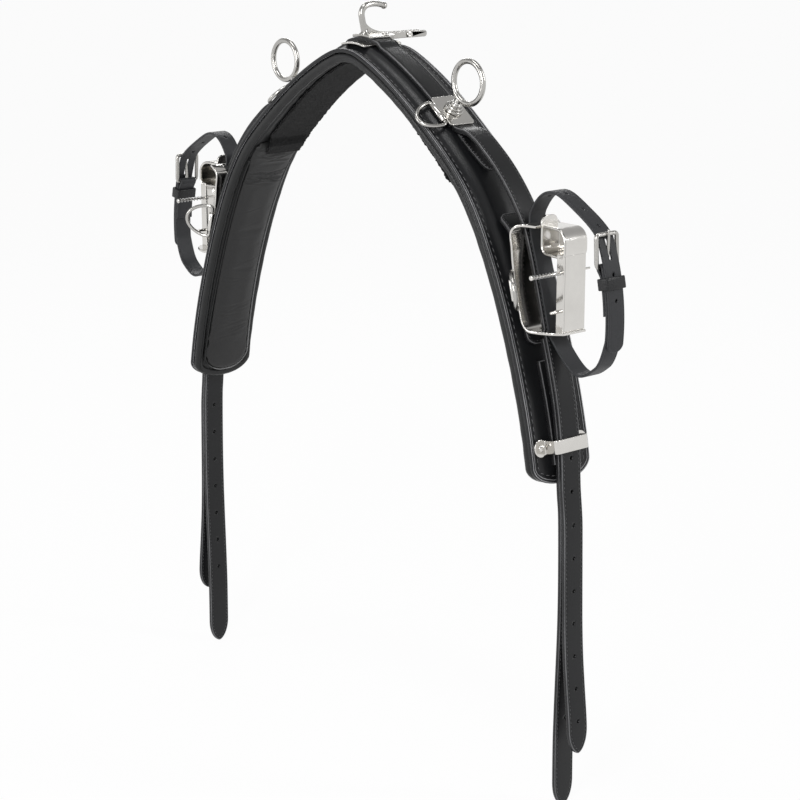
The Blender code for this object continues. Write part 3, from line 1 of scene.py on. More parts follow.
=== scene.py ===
# The looks of a trotting harness's saddle: leather, stitching, felt and bright metal on the fixed frame.
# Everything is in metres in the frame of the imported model. +Y is to the horse's tail, +X to its left.

from math import atan2, cos, pi, radians, sin
import bmesh
import bpy
import numpy as np
from mathutils import Matrix, Vector


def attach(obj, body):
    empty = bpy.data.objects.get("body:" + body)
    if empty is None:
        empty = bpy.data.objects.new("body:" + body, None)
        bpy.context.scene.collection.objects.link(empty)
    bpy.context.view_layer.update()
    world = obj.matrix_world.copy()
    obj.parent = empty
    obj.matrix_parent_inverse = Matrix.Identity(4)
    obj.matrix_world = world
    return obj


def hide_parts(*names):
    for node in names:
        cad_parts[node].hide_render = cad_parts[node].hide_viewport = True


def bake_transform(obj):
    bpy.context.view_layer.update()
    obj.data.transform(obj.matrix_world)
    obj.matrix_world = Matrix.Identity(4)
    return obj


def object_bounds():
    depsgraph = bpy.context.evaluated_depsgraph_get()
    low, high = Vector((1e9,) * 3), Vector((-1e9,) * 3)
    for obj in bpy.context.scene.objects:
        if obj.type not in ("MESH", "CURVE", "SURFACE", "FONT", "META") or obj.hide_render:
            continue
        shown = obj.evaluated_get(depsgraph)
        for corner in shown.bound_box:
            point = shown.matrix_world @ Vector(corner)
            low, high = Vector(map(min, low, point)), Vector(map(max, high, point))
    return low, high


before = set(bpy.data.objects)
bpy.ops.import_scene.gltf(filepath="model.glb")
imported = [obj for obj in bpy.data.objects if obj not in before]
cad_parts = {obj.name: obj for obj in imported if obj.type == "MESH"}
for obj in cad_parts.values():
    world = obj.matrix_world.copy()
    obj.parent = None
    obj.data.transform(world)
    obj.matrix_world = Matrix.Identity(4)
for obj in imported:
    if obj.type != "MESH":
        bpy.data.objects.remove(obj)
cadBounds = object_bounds()

touchGap = 0.0003

# The arch and the heights of its layers above the skirt's edge

arch = {
    "halfLength": 0.505, "endLean": radians(82), "steps": 400, "crownZ": 0.0151,
    "leanShares": (
        (0, 0), (0.044, 0.256), (0.083, 0.323), (0.152, 0.384), (0.224, 0.445), (0.297, 0.473),
        (0.368, 0.512), (0.44, 0.646), (0.513, 0.744), (0.606, 0.805), (0.687, 0.848),
        (0.792, 0.888), (0.871, 0.927), (0.931, 0.963), (1, 1),
    ),
}
places = {
    "terret": 0.130, "ridgeStrapEnd": 0.146, "strapStart": 0.147, "coupler": 0.30298, "keeper": 0.468,
    "hinge": 0.53025, "underStrap": 0.36898, "ridgeEnd": 0.29998,
}
heights = {
    "panelTop": -0.0033, "panelLow": -0.012, "liningTop": -0.0123, "liningLow": -0.0151,
    "ridge": 0.0045, "strapBase": 0.0048, "strapTop": 0.0088, "plateBase": 0.0091,
    "plateTop": 0.0111, "hump": 0.0023,
}
strapSize = {
    "thickness": 0.004, "width": 0.025, "bow": 0.0308,
    "bowShares": (
        (0, 0.286), (0.0131, 0.33), (0.0394, 0.565), (0.0737, 0.7), (0.1119, 0.753), (0.1541, 0.818),
        (0.1962, 0.877), (0.2423, 0.935), (0.2845, 0.974), (0.3214, 1), (0.3833, 0.916),
        (0.4624, 0.789), (0.5533, 0.685), (0.6548, 0.633), (0.7378, 0.594), (0.8168, 0.526),
        (0.8788, 0.451), (0.9315, 0.383), (0.9578, 0.36), (1, 0.345),
    ),
}


# Lines along which flat leather is bent

# Distances along a run of flat points
def runLengths(points):
    return np.concatenate(([0.0], np.cumsum(np.hypot(*np.diff(points, axis=0).T))))


# Rows of flat points, read at distances along them
def readRows(marks, distances, rows):
    return np.stack([np.interp(marks, distances, rows[:, k]) for k in (0, 1)], -1)


def smoothStep(value):
    value = np.clip(value, 0, 1)
    return value * value * (3 - 2 * value)


# A line of short straight runs, read by the distance along it; its left side is the outer side
class BendLine:
    def __init__(self, points):
        self.points = np.array([tuple(point) for point in points], float)
        self.distances = runLengths(self.points)
        self.length = self.distances[-1]
        steps = np.diff(self.points, axis=0)
        runs = steps / np.hypot(*steps.T)[:, None]
        joined = (runs[:-1] + runs[1:]) / (1 + (runs[:-1] * runs[1:]).sum(1))[:, None]
        self.headings = np.vstack((runs[:1], joined, runs[-1:]))

    def at(self, along):
        along = np.asarray(along, float)
        inside = np.clip(along, 0, self.length)
        point = readRows(inside, self.distances, self.points)
        heading = readRows(inside, self.distances, self.headings)
        return point + heading * (along - inside)[..., None], heading

    def offset(self, along, out):
        point, heading = self.at(along)
        out = np.asarray(out, float)[..., None]
        return point + np.stack((-heading[..., 1], heading[..., 0]), -1) * out

    def nearest(self, place):
        samples = np.linspace(0, self.length, 4000)
        gaps = np.hypot(*(self.at(samples)[0] - np.array(tuple(place))).T)
        return samples[gaps.argmin()]


def readTable(table, value):
    return float(np.interp(value, [row[0] for row in table], [row[1] for row in table]))


# A smooth curve through points, with a number of steps between each two
def smoothPoints(points, steps):
    points = [np.array(tuple(point), float) for point in points]
    result = []
    for index in range(len(points) - 1):
        p0 = points[max(index - 1, 0)]
        p1 = points[index]
        p2 = points[index + 1]
        p3 = points[min(index + 2, len(points) - 1)]
        for step in range(steps):
            t = step / steps
            bend = (2 * p0 - 5 * p1 + 4 * p2 - p3) * t ** 2 + (3 * p1 - p0 - 3 * p2 + p3) * t ** 3
            result.append((2 * p1 + (p2 - p0) * t + bend) / 2)
    result.append(points[-1])
    return result


def arcPoints(centre, radius, start, end, steps):
    angles = np.linspace(start, end, steps + 1)
    return [np.array((centre[0] + radius * cos(a), centre[1] + radius * sin(a))) for a in angles]


# The skirt's outer face beside the ridge, from the crown down the left side
def makeArchLine():
    step = arch["halfLength"] / arch["steps"]
    points = [np.array((0.0, arch["crownZ"]))]
    for index in range(arch["steps"]):
        lean = readTable(arch["leanShares"], (index + 0.5) / arch["steps"]) * arch["endLean"]
        points.append(points[-1] + np.array((cos(lean), -sin(lean))) * step)
    line = BendLine(points[::4])
    line.headings[0] = (1, 0)
    return line


archLine = makeArchLine()


# Points on the arch; a negative distance is on the right side
def archPlace(along, across, out):
    along = np.asarray(along, float)
    flat = archLine.offset(np.abs(along), out)
    x = np.where(along < 0, -flat[..., 0], flat[..., 0])
    return np.stack((x, np.broadcast_to(across, x.shape), flat[..., 1]), -1)


# A frame on the left side: X down the arch, Y to the tail, Z outward
def archFrame(along, out=0.0):
    heading = archLine.at(along)[1]
    point = archLine.offset(along, out)
    turn = Matrix.Rotation(atan2(-heading[1], heading[0]), 4, "Y")
    return Matrix.Translation((point[0], 0, point[1])) @ turn


# A place function for leather bent along a line
def linePlace(line):
    def place(along, across, out):
        flat = line.offset(along, out)
        return np.stack((flat[..., 0], np.broadcast_to(across, flat[..., 0].shape), flat[..., 1]), -1)
    return place


def bowHeight(along):
    share = (along - places["strapStart"]) / (places["hinge"] - places["strapStart"])
    return readTable(strapSize["bowShares"], share) * strapSize["bow"]


# The side strap's outer face, from the terret plate to the hinge line
def makeSideStrapLine():
    span = places["hinge"] - places["strapStart"]
    marks = [places["strapStart"] + span * share for share, bow in strapSize["bowShares"]]
    return BendLine(smoothPoints([archLine.offset(mark, bowHeight(mark)) for mark in marks], 8))


sideStrapLine = makeSideStrapLine()
couplerOrigin = archLine.offset(places["coupler"], bowHeight(places["coupler"]))


# Building meshes

# Points and faces gathered for one piece. Lay holds each point's distance along and from the edge
class Work:
    def __init__(self):
        self.points = []
        self.lay = []
        self.faces = []
        self.slots = []
        self.count = 0

    def add(self, points, faces, lay=None, slot=0):
        points = np.asarray(points, float).reshape(-1, 3)
        self.points.append(points)
        self.lay.append(np.zeros((len(points), 2)) if lay is None else np.asarray(lay, float))
        self.faces += [tuple(index + self.count for index in face) for face in faces]
        self.slots += [slot] * len(faces)
        self.count += len(points)

    def make(self, name, materials):
        mesh = bpy.data.meshes.new(name)
        mesh.from_pydata(np.vstack(self.points).tolist(), [], self.faces)
        for material in materials:
            mesh.materials.append(material)
        mesh.polygons.foreach_set("material_index", self.slots)
        mesh.polygons.foreach_set("use_smooth", [True] * len(mesh.polygons))
        writeLay(mesh, np.vstack(self.lay))
        fixNormals(mesh)
        return linked(bpy.data.objects.new(name, mesh))


def linked(thing):
    bpy.context.scene.collection.objects.link(thing)
    return thing


def readPoints(mesh, field="co"):
    values = np.zeros(len(mesh.vertices) * 3)
    mesh.vertices.foreach_get(field, values)
    return values.reshape(-1, 3)


def writePoints(mesh, points):
    mesh.vertices.foreach_set("co", points.ravel())


# Keep each point's distances along and from the edge in the mesh's map
def writeLay(mesh, lay):
    corners = np.zeros(len(mesh.loops), np.int32)
    mesh.loops.foreach_get("vertex_index", corners)
    layer = mesh.uv_layers.get("lay") or mesh.uv_layers.new(name="lay")
    layer.data.foreach_set("uv", lay[corners].ravel())


def fixNormals(mesh):
    bm = bmesh.new()
    bm.from_mesh(mesh)
    bmesh.ops.recalc_face_normals(bm, faces=bm.faces)
    bm.to_mesh(mesh)
    bm.free()


# Quads of a grid of points, row after row
def gridFaces(rows, columns, closedRows=False, closedColumns=False):
    faces = []
    for row in range(rows if closedRows else rows - 1):
        for column in range(columns if closedColumns else columns - 1):
            nextRow = (row + 1) % rows
            nextColumn = (column + 1) % columns
            faces.append((row * columns + column, row * columns + nextColumn,
                          nextRow * columns + nextColumn, nextRow * columns + column))
    return faces


# Faces that close both ends of a tube of rings
def capFaces(rings, sides):
    return [tuple(range(sides)), tuple((rings - 1) * sides + index for index in reversed(range(sides)))]


# A round bar along points, with one radius or a radius at each point
def tube(work, points, radius, sides=20, cyclic=False, slot=0):
    points = np.asarray(points, float)
    count = len(points)
    radii = np.broadcast_to(radius, (count,))
    if cyclic:
        tangents = np.roll(points, -1, 0) - np.roll(points, 1, 0)
    else:
        tangents = np.gradient(points, axis=0)
    tangents /= np.linalg.norm(tangents, axis=1)[:, None]
    spare = np.eye(3)[np.abs(tangents[0]).argmin()]
    side = np.cross(tangents[0], spare)
    side /= np.linalg.norm(side)
    sideList = []
    for tangent in tangents:
        side = side - tangent * (side @ tangent)
        side /= np.linalg.norm(side)
        sideList.append(side)
    sideRows = np.array(sideList)
    upRows = np.cross(tangents, sideRows)
    angles = np.linspace(0, 2 * pi, sides, endpoint=False)
    rings = (
        points[:, None] + radii[:, None, None] * (
            np.cos(angles)[None, :, None] * sideRows[:, None]
            + np.sin(angles)[None, :, None] * upRows[:, None]))
    faces = gridFaces(count, sides, closedRows=cyclic, closedColumns=True)
    if not cyclic:
        faces += capFaces(count, sides)
    along = np.concatenate(([0], np.cumsum(np.linalg.norm(np.diff(points, axis=0), axis=1))))
    lay = np.stack((np.repeat(along, sides), np.tile(angles, count)), -1)
    work.add(rings.reshape(-1, 3), faces, lay, slot)


# A turned shape about the matrix's Z axis, from (radius, height) pairs
def lathe(work, profile, matrix, sides=48, closed=False):
    angles = np.linspace(0, 2 * pi, sides, endpoint=False)
    rows = []
    for radius, height in profile:
        radius = max(radius, 1e-6)
        rows.append(np.stack((radius * np.cos(angles), radius * np.sin(angles), np.full(sides, height)), -1))
    turn = np.array(matrix)
    points = np.array(rows).reshape(-1, 3) @ turn[:3, :3].T + turn[:3, 3]
    faces = gridFaces(len(profile), sides, closedRows=closed, closedColumns=True)
    if not closed:
        faces += capFaces(len(profile), sides)
    work.add(points, faces)


# Round the corners of a turned profile, apart from its two ends
def roundProfile(profile, radius, steps=3):
    profile = [np.array(point, float) for point in profile]
    result = [profile[0]]
    for before, corner, after in zip(profile, profile[1:], profile[2:]):
        back = before - corner
        forth = after - corner
        reach = min(radius, np.linalg.norm(back) / 2.1, np.linalg.norm(forth) / 2.1)
        if reach < 1e-6:
            result.append(corner)
            continue
        a = corner + back / np.linalg.norm(back) * reach
        b = corner + forth / np.linalg.norm(forth) * reach
        for step in range(steps + 1):
            t = step / steps
            result.append(a * (1 - t) ** 2 + corner * 2 * t * (1 - t) + b * t ** 2)
    result.append(profile[-1])
    return result


# A frame whose Z axis runs along a vector
def runFrame(start, run):
    return Matrix.Translation(start) @ run.to_track_quat("Z", "X").to_matrix().to_4x4()


def rod(work, start, end, radius, sides, bevel):
    run = Vector(end - start)
    profile = roundProfile([(0, 0), (radius, 0), (radius, run.length), (0, run.length)], bevel)
    lathe(work, profile, runFrame(Vector(start), run), sides)


# A short tube with rounded rims
def sleeve(work, start, end, outer, inner, sides=40):
    bevel = 0.0003
    start = Vector(start)
    run = Vector(end) - start
    length = run.length
    profile = [
        (inner, length / 2), (inner, bevel), (inner + bevel, 0), (outer - bevel, 0), (outer, bevel),
        (outer, length - bevel), (outer - bevel, length), (inner + bevel, length),
        (inner, length - bevel)]
    lathe(work, profile, runFrame(start, run), sides, closed=True)


# Flat leather and sheet metal, cut to an outline and bent

# Half the width of a strap whose ends may be rounded over their depths
def endHalf(along, start, end, half, startDepth, endDepth):
    along = np.asarray(along, float)
    width = np.full(along.shape, float(half))
    for depth, room in ((startDepth, along - start), (endDepth, end - along)):
        if depth:
            turn = np.clip(1 - room / depth, 0, 1)
            width = np.minimum(width, half * np.sqrt(np.clip(1 - turn ** 2, 0, 1)))
    return width


# Edge functions of a plain strap
def strapEdges(start, end, half, startDepth=0.0, endDepth=0.0):
    def edges(along):
        width = endHalf(along, start, end, half, startDepth, endDepth)
        return -width, width
    return edges


# Distances along a strip: close together at its ends, so that they can be rounded
def stops(start, end, step, startDepth, endDepth, edge):
    near = np.array((0, 0.15, 0.4, 0.75, 1.2, 2, 3.2)) * edge
    span = end - start
    values = list(np.linspace(start, end, max(int(span / step), 4) + 1))
    for stop, depth, sign in ((start, startDepth, 1), (end, endDepth, -1)):
        if depth:
            turns = np.linspace(0, pi / 2, 15)
            values += list(stop + sign * depth * (1 - np.cos(turns)))
            values += list(stop + sign * depth * np.array((0.0012, 0.004, 0.01)))
        else:
            values += list(stop + sign * near)
    values = np.array(sorted(value for value in values if start <= value <= end))
    keep = np.concatenate(([True], np.diff(values) > edge * 0.04))
    keep[-1] = True
    return values[keep]


# The closed loop of a strip's two edges
def outlineOf(alongs, low, high):
    lowSide = np.stack((alongs, low), -1)
    highSide = np.stack((alongs, high), -1)[::-1]
    return np.vstack((lowSide, highSide, lowSide[:1]))


# Distance of flat points from the nearest edge of an outline
def edgeDistance(points, loop):
    best = np.full(len(points), 1e9)
    for a, b in zip(loop[:-1], loop[1:]):
        run = b - a
        length = run @ run
        if length < 1e-16:
            continue
        share = np.clip(((points - a) @ run) / length, 0, 1)
        gap = points - a - share[:, None] * run
        best = np.minimum(best, (gap * gap).sum(1))
    return np.sqrt(best)


# A closed strip of leather or sheet with rounded edges, bent by a place function.
# Relief adds height above the upper or below the lower face, from the distance to the edge
def strip(work, place, start, end, edges, look, **shape):
    settings = {"edge": 0.0009, "step": 0.003, "depth": 0, "rows": (2, 3), "across": 8, "height": 0.0,
                **look, **shape}
    thickness = settings["thickness"]
    edge = min(settings["edge"], thickness * 0.48)
    alongs = stops(start, end, settings["step"], settings.get("startDepth", settings["depth"]),
                   settings.get("endDepth", settings["depth"]), edge)
    low, high = edges(alongs)
    full = float((high - low).max()) / 2
    near = np.array((0, 0.12, 0.35, 0.7, 1.15, *settings["rows"])) * edge
    near = near[near < full * 0.8]
    inner = np.linspace(near[-1], 2 * full - near[-1], settings["across"] + 1)[1:-1]
    shares = np.concatenate((near, inner, (2 * full - near)[::-1])) / (2 * full)
    across = low[:, None] + (high - low)[:, None] * shares[None]
    along = np.broadcast_to(alongs[:, None], across.shape)
    flat = np.stack((along.ravel(), across.ravel()), -1)
    gap = edgeDistance(flat, outlineOf(alongs, low, high)).reshape(across.shape)
    inside = np.clip(edge - gap, 0, edge)
    half = thickness / 2 - edge + np.sqrt(np.clip(edge ** 2 - inside ** 2, 0, None))
    upper = half.copy()
    lower = -half
    if "relief" in settings:
        upper = upper + settings["relief"](gap, along, across)
    if "underRelief" in settings:
        lower = lower - settings["underRelief"](gap, along, across)
    lift = settings["lift"](along, across) if "lift" in settings else 0
    top = place(along, across, upper + lift + settings["height"])
    bottom = place(along, across, lower + lift + settings["height"])
    rows, columns = across.shape
    count = rows * columns
    faces = gridFaces(rows, columns)
    faces += [tuple(count + index for index in reversed(face)) for face in gridFaces(rows, columns)]
    rim = [(0, column) for column in range(columns)]
    rim += [(row, columns - 1) for row in range(1, rows)]
    rim += [(rows - 1, column) for column in reversed(range(columns - 1))]
    rim += [(row, 0) for row in reversed(range(1, rows - 1))]
    ring = [row * columns + column for row, column in rim]
    for a, b in zip(ring, ring[1:] + ring[:1]):
        faces.append((a, b, count + b, count + a))
    lay = np.stack((along.ravel(), gap.ravel()), -1)
    work.add(np.vstack((top.reshape(-1, 3), bottom.reshape(-1, 3))), faces, np.vstack((lay, lay)))


# Weld points that coincide, as at the tip of a rounded strap
def merge(piece):
    gap = 0.00001
    bm = bmesh.new()
    bm.from_mesh(piece.data)
    bmesh.ops.remove_doubles(bm, verts=bm.verts, dist=gap)
    bmesh.ops.dissolve_degenerate(bm, edges=bm.edges, dist=gap)
    bmesh.ops.recalc_face_normals(bm, faces=bm.faces)
    bm.to_mesh(piece.data)
    bm.free()
    return piece


# Points at a pitch along a flat path, with the direction there
def runPoints(path, pitch):
    total = runLengths(path)
    count = max(int(total[-1] / pitch), 1)
    marks = (np.arange(count) + 0.5) * total[-1] / count
    centre = readRows(marks, total, path)
    direction = readRows(marks + pitch / 4, total, path) - readRows(marks - pitch / 4, total, path)
    return centre, direction / np.linalg.norm(direction, axis=1)[:, None]


# Along, width and height of a stitch, in shares of its own half length and radius
threadShape = (
    (-1, 0.2, -1.5), (-0.8, 0.7, -0.5), (-0.3, 1, 0.1), (0.3, 1, 0.1), (0.8, 0.7, -0.5), (1, 0.2, -1.5),
)


# A row of thread stitches that dip into the leather at their ends
def stitches(work, path, place, height, look):
    radius = look["thread"]
    centre, direction = runPoints(path, look["pitch"])
    lean = look.get("lean", 0.12)
    turned = np.stack((direction[:, 0] * cos(lean) - direction[:, 1] * sin(lean),
                       direction[:, 0] * sin(lean) + direction[:, 1] * cos(lean)), -1)
    reach = look["pitch"] * look["fill"] / 2
    out = height(centre[:, 0], centre[:, 1]) if callable(height) else np.full(len(centre), height)
    middle = place(centre[:, 0], centre[:, 1], out)
    normal = place(centre[:, 0], centre[:, 1], out + 0.001) - middle
    normal /= np.linalg.norm(normal, axis=1)[:, None]
    tip = place(centre[:, 0] + turned[:, 0] * reach, centre[:, 1] + turned[:, 1] * reach, out)
    run = tip - middle
    run -= normal * (run * normal).sum(1)[:, None]
    side = np.cross(normal, run)
    side /= np.linalg.norm(side, axis=1)[:, None]
    sides = 6
    angles = np.linspace(0, 2 * pi, sides, endpoint=False)
    rings = []
    for share, wide, dip in threadShape:
        core = middle + run * share + normal * radius * dip
        rings.append(core[:, None] + radius * wide * (
            np.cos(angles)[None, :, None] * side[:, None] + np.sin(angles)[None, :, None] * normal[:, None]))
    points = np.stack(rings, 1)
    perStitch = len(threadShape) * sides
    single = gridFaces(len(threadShape), sides, closedColumns=True)
    faces = []
    for index in range(len(centre)):
        faces += [tuple(corner + index * perStitch for corner in face) for face in single]
    work.add(points, faces)


# The path of a stitch row round a band, inside its edge
def seamLoop(size, look):
    inset = look["seam"]
    end = size - inset
    depth = look["depth"] - inset
    alongs = stops(-end, end, 0.004, depth, depth, 0.0005)
    width = endHalf(alongs, -end, end, look["half"] - inset, depth, depth)
    return outlineOf(alongs, -width, width)


# Solid pieces cut from outlines, with bevels and booleans

def evaluatedMesh(source):
    bpy.context.view_layer.update()
    return bpy.data.meshes.new_from_object(source.evaluated_get(bpy.context.evaluated_depsgraph_get()))


# A flat plate from an outline with holes, its middle in the matrix's XY plane
def plate(name, outline, thickness, matrix, holes=()):
    curve = bpy.data.curves.new("pattern", "CURVE")
    curve.dimensions = "2D"
    curve.fill_mode = "BOTH"
    curve.extrude = thickness / 2
    for loop in (outline, *holes):
        spline = curve.splines.new("POLY")
        spline.points.add(len(loop) - 1)
        for splinePoint, place in zip(spline.points, loop):
            splinePoint.co = (place[0], place[1], 0, 1)
        spline.use_cyclic_u = True
    holder = linked(bpy.data.objects.new("pattern_holder", curve))
    mesh = evaluatedMesh(holder)
    bpy.data.objects.remove(holder, do_unlink=True)
    bpy.data.curves.remove(curve)
    bm = bmesh.new()
    bm.from_mesh(mesh)
    bmesh.ops.remove_doubles(bm, verts=bm.verts, dist=0.00001)
    bmesh.ops.dissolve_limit(bm, angle_limit=radians(0.3), verts=bm.verts, edges=bm.edges)
    bmesh.ops.transform(bm, matrix=matrix, verts=bm.verts)
    bmesh.ops.recalc_face_normals(bm, faces=bm.faces)
    bm.to_mesh(mesh)
    bm.free()
    return linked(bpy.data.objects.new(name, mesh))


# Apply a piece's modifiers
def bake(piece):
    mesh = evaluatedMesh(piece)
    piece.modifiers.clear()
    old = piece.data
    piece.data = mesh
    mesh.name = piece.name
    if not old.users:
        bpy.data.meshes.remove(old)
    return piece


# Join or cut a piece with others by booleans; the others are used up
def combine(piece, others, operation):
    for other in others:
        old = piece.data
        for solver, ownFolds in (("EXACT", False), ("EXACT", True), ("FAST", False)):
            modifier = piece.modifiers.new("cut", "BOOLEAN")
            modifier.operation = operation
            modifier.solver = solver
            modifier.use_self = ownFolds
            modifier.object = other
            mesh = evaluatedMesh(piece)
            piece.modifiers.clear()
            if len(mesh.vertices) > 0.6 * len(old.vertices):
                piece.data = mesh
                mesh.name = piece.name
                break
            print("a cut was tried again on", piece.name)
        bpy.data.objects.remove(other, do_unlink=True)
    return piece


# Round a piece's edges and keep its flat faces looking flat
def bevelled(piece, width):
    bm = bmesh.new()
    bm.from_mesh(piece.data)
    bmesh.ops.remove_doubles(bm, verts=bm.verts, dist=0.000005)
    bmesh.ops.dissolve_limit(bm, angle_limit=radians(0.3), verts=bm.verts, edges=bm.edges)
    for face in bm.faces:
        face.smooth = True
    bm.to_mesh(piece.data)
    bm.free()
    bevel = piece.modifiers.new("bevel", "BEVEL")
    bevel.width = width
    bevel.segments = 3
    bevel.limit_method = "ANGLE"
    bevel.angle_limit = radians(25)
    bevel.miter_outer = "MITER_ARC"
    weighted = piece.modifiers.new("weighted", "WEIGHTED_NORMAL")
    weighted.keep_sharp = False
    weighted.weight = 100
    return bake(piece)


# A rectangle whose corners, from low-left round to high-left, have their own radii
def boxLoop(xLow, xHigh, yLow, yHigh, corners=(0, 0, 0, 0), steps=8):
    spots = ((xLow, yLow, pi), (xHigh, yLow, -pi / 2), (xHigh, yHigh, 0), (xLow, yHigh, pi / 2))
    points = []
    for (x, y, start), radius in zip(spots, corners):
        if not radius:
            points.append((x, y))
            continue
        centreX = x + (radius if x == xLow else -radius)
        centreY = y + (radius if y == yLow else -radius)
        for step in range(steps + 1):
            angle = start + pi / 2 * step / steps
            points.append((centreX + radius * cos(angle), centreY + radius * sin(angle)))
    return points


def circleLoop(x, y, radius, sides=24):
    angles = [2 * pi * (index + 0.5) / sides for index in range(sides)]
    return [(x + radius * cos(angle), y + radius * sin(angle)) for angle in angles]


# Frames for plates that stand across the saddle, or along it
def planeYz(x=0.0):
    return Matrix(((0, 0, 1, x), (1, 0, 0, 0), (0, 1, 0, 0), (0, 0, 0, 1)))


def planeXz(y):
    return Matrix(((1, 0, 0, 0), (0, 0, 1, y), (0, 1, 0, 0), (0, 0, 0, 1)))


# Punch round holes through a strap at flat marks (along, across)
def punch(piece, place, marks, radius, depth):
    work = Work()
    for along, across in marks:
        low = place(np.array(along), np.array(across), np.array(-depth))
        high = place(np.array(along), np.array(across), np.array(depth))
        rod(work, low, high, radius, 20, 0.00001)
    cutter = work.make("punch", [])
    return combine(piece, [cutter], "DIFFERENCE")


# Cut a slot through a bent strip; it has round ends unless a corner is given
def slotCut(piece, place, start, end, half, depth, corner=None, steps=6):
    loop = boxLoop(start, end, -half, half, (corner or half * 0.98,) * 4, steps)
    cutter = plate("slot", loop, depth * 2, Matrix.Identity(4))
    points = readPoints(cutter.data)
    writePoints(cutter.data, place(points[:, 0], points[:, 1], points[:, 2]))
    fixNormals(cutter.data)
    return combine(piece, [cutter], "DIFFERENCE")


# A loop with more points on its straight sides
def denseLoop(loop, step):
    dense = []
    for a, b in zip(loop, loop[1:] + loop[:1]):
        count = max(int(np.hypot(b[0] - a[0], b[1] - a[1]) / step), 1)
        dense += [(a[0] + (b[0] - a[0]) * k / count, a[1] + (b[1] - a[1]) * k / count) for k in range(count)]
    return dense


# Put several meshes into the first one's object
def joinPieces(name, pieces):
    bm = bmesh.new()
    for piece in pieces:
        bm.from_mesh(piece.data)
    first = pieces[0]
    mesh = bpy.data.meshes.new(name)
    bm.to_mesh(mesh)
    bm.free()
    for material in first.data.materials:
        mesh.materials.append(material)
    for other in pieces[1:]:
        bpy.data.objects.remove(other, do_unlink=True)
    first.data = mesh
    first.name = name
    return first


# The mirrored copy of a left piece, on the right side
def twin(piece):
    mesh = piece.data.copy()
    mesh.transform(Matrix.Diagonal((-1, 1, 1, 1)))
    mesh.flip_normals()
    return linked(bpy.data.objects.new(piece.name.replace("left_", "right_"), mesh))


# Give a piece to its body and hide the nodes it stands for; a left piece gets its twin. A piece with a bend
# is only baked in place and given to no body
def settle(piece, body, nodes=(), bend=None):
    sides = [(piece, body, nodes, 1)]
    if piece.name.startswith("left_"):
        names = tuple(node.replace("left_", "right_") for node in nodes)
        sides.append((twin(piece), body.replace("left_", "right_"), names, -1))
    for one, bodyName, nodeNames, sign in sides:
        if bend:
            start, end = ((sign * point[0], point[1], point[2]) for point in bend)
            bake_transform(one)
            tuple(start)
            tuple(end)
        else:
            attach(one, bodyName)
        if nodeNames:
            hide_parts(*nodeNames)


# Materials

# The node tree of a material or the world, with short ways to add and link nodes
class Shade:
    def __init__(self, owner, main):
        owner.use_nodes = True
        self.owner = owner
        self.tree = owner.node_tree
        self.shader = self.tree.nodes[main]
        self.places = self.node("ShaderNodeTexCoord").outputs

    def node(self, kind, inputs=(), **settings):
        made = self.tree.nodes.new(kind)
        for key, value in settings.items():
            setattr(made, key, value)
        for key, value in dict(inputs).items():
            self.put(made.inputs[key], value)
        return made

    def put(self, socket, value):
        if isinstance(value, bpy.types.NodeSocket):
            self.tree.links.new(value, socket)
        else:
            socket.default_value = value

    def set(self, **values):
        for key, value in values.items():
            self.put(self.shader.inputs[key.replace("_", " ")], value)

    def noise(self, scale, detail=3.0, roughness=0.55, place=None, distortion=0.0):
        return self.node("ShaderNodeTexNoise", {
            "Vector": place or self.places["Object"], "Scale": scale, "Detail": detail,
            "Roughness": roughness, "Distortion": distortion}).outputs["Fac"]

    def cells(self, scale):
        return self.node("ShaderNodeTexVoronoi", {
            "Vector": self.places["Object"], "Scale": scale, "Smoothness": 0.5,
        }, feature="SMOOTH_F1").outputs["Distance"]

    def math(self, operation, a, b=0.0, c=0.0):
        made = self.node("ShaderNodeMath", operation=operation)
        for socket, value in zip(made.inputs, (a, b, c)):
            self.put(socket, value)
        return made.outputs[0]

    def span(self, value, low, high, toLow, toHigh):
        return self.node("ShaderNodeMapRange", {
            "Value": value, "From Min": low, "From Max": high, "To Min": toLow, "To Max": toHigh,
        }, interpolation_type="SMOOTHSTEP").outputs["Result"]

    # A mix of two colours, each given plainly or as a socket
    def colours(self, factor, first, second):
        made = self.node("ShaderNodeMix", data_type="RGBA")
        for index, value in ((0, factor), (6, first), (7, second)):
            self.put(made.inputs[index], (*value, 1) if isinstance(value, tuple) else value)
        return made.outputs[2]

    # 1 where the camera sees the surface straight, in a mirror or through glass
    def seen(self):
        path = self.node("ShaderNodeLightPath").outputs
        straight = self.math("MAXIMUM", path["Is Camera Ray"], path["Is Glossy Ray"])
        return self.math("MAXIMUM", straight, path["Is Transmission Ray"])

    def mixOut(self, factor, first, second, output):
        mix = self.node("ShaderNodeMixShader")
        for socket, value in zip(mix.inputs, (factor, first.outputs[0], second.outputs[0])):
            self.put(socket, value)
        self.put(self.tree.nodes[output].inputs["Surface"], mix.outputs[0])

    # Distance from a strap's nearest edge, in metres
    def edgeGap(self):
        lay = self.node("ShaderNodeUVMap", uv_map="lay").outputs["UV"]
        return self.node("ShaderNodeSeparateXYZ", {"Vector": lay}).outputs["Y"]

    def bump(self, height, distance):
        made = self.node("ShaderNodeBump", {"Height": height, "Distance": distance})
        self.put(self.shader.inputs["Normal"], made.outputs["Normal"])


hideLook = {
    "patch": 22, "wear": 140, "poreShare": 2.6, "poreTone": 0.25, "poreHeight": 0.4, "ior": 1.5,
    "edgeStart": 0.0002, "edgeBand": 0.0022, "edgeRough": -0.1, "roughSpread": 0.14,
}
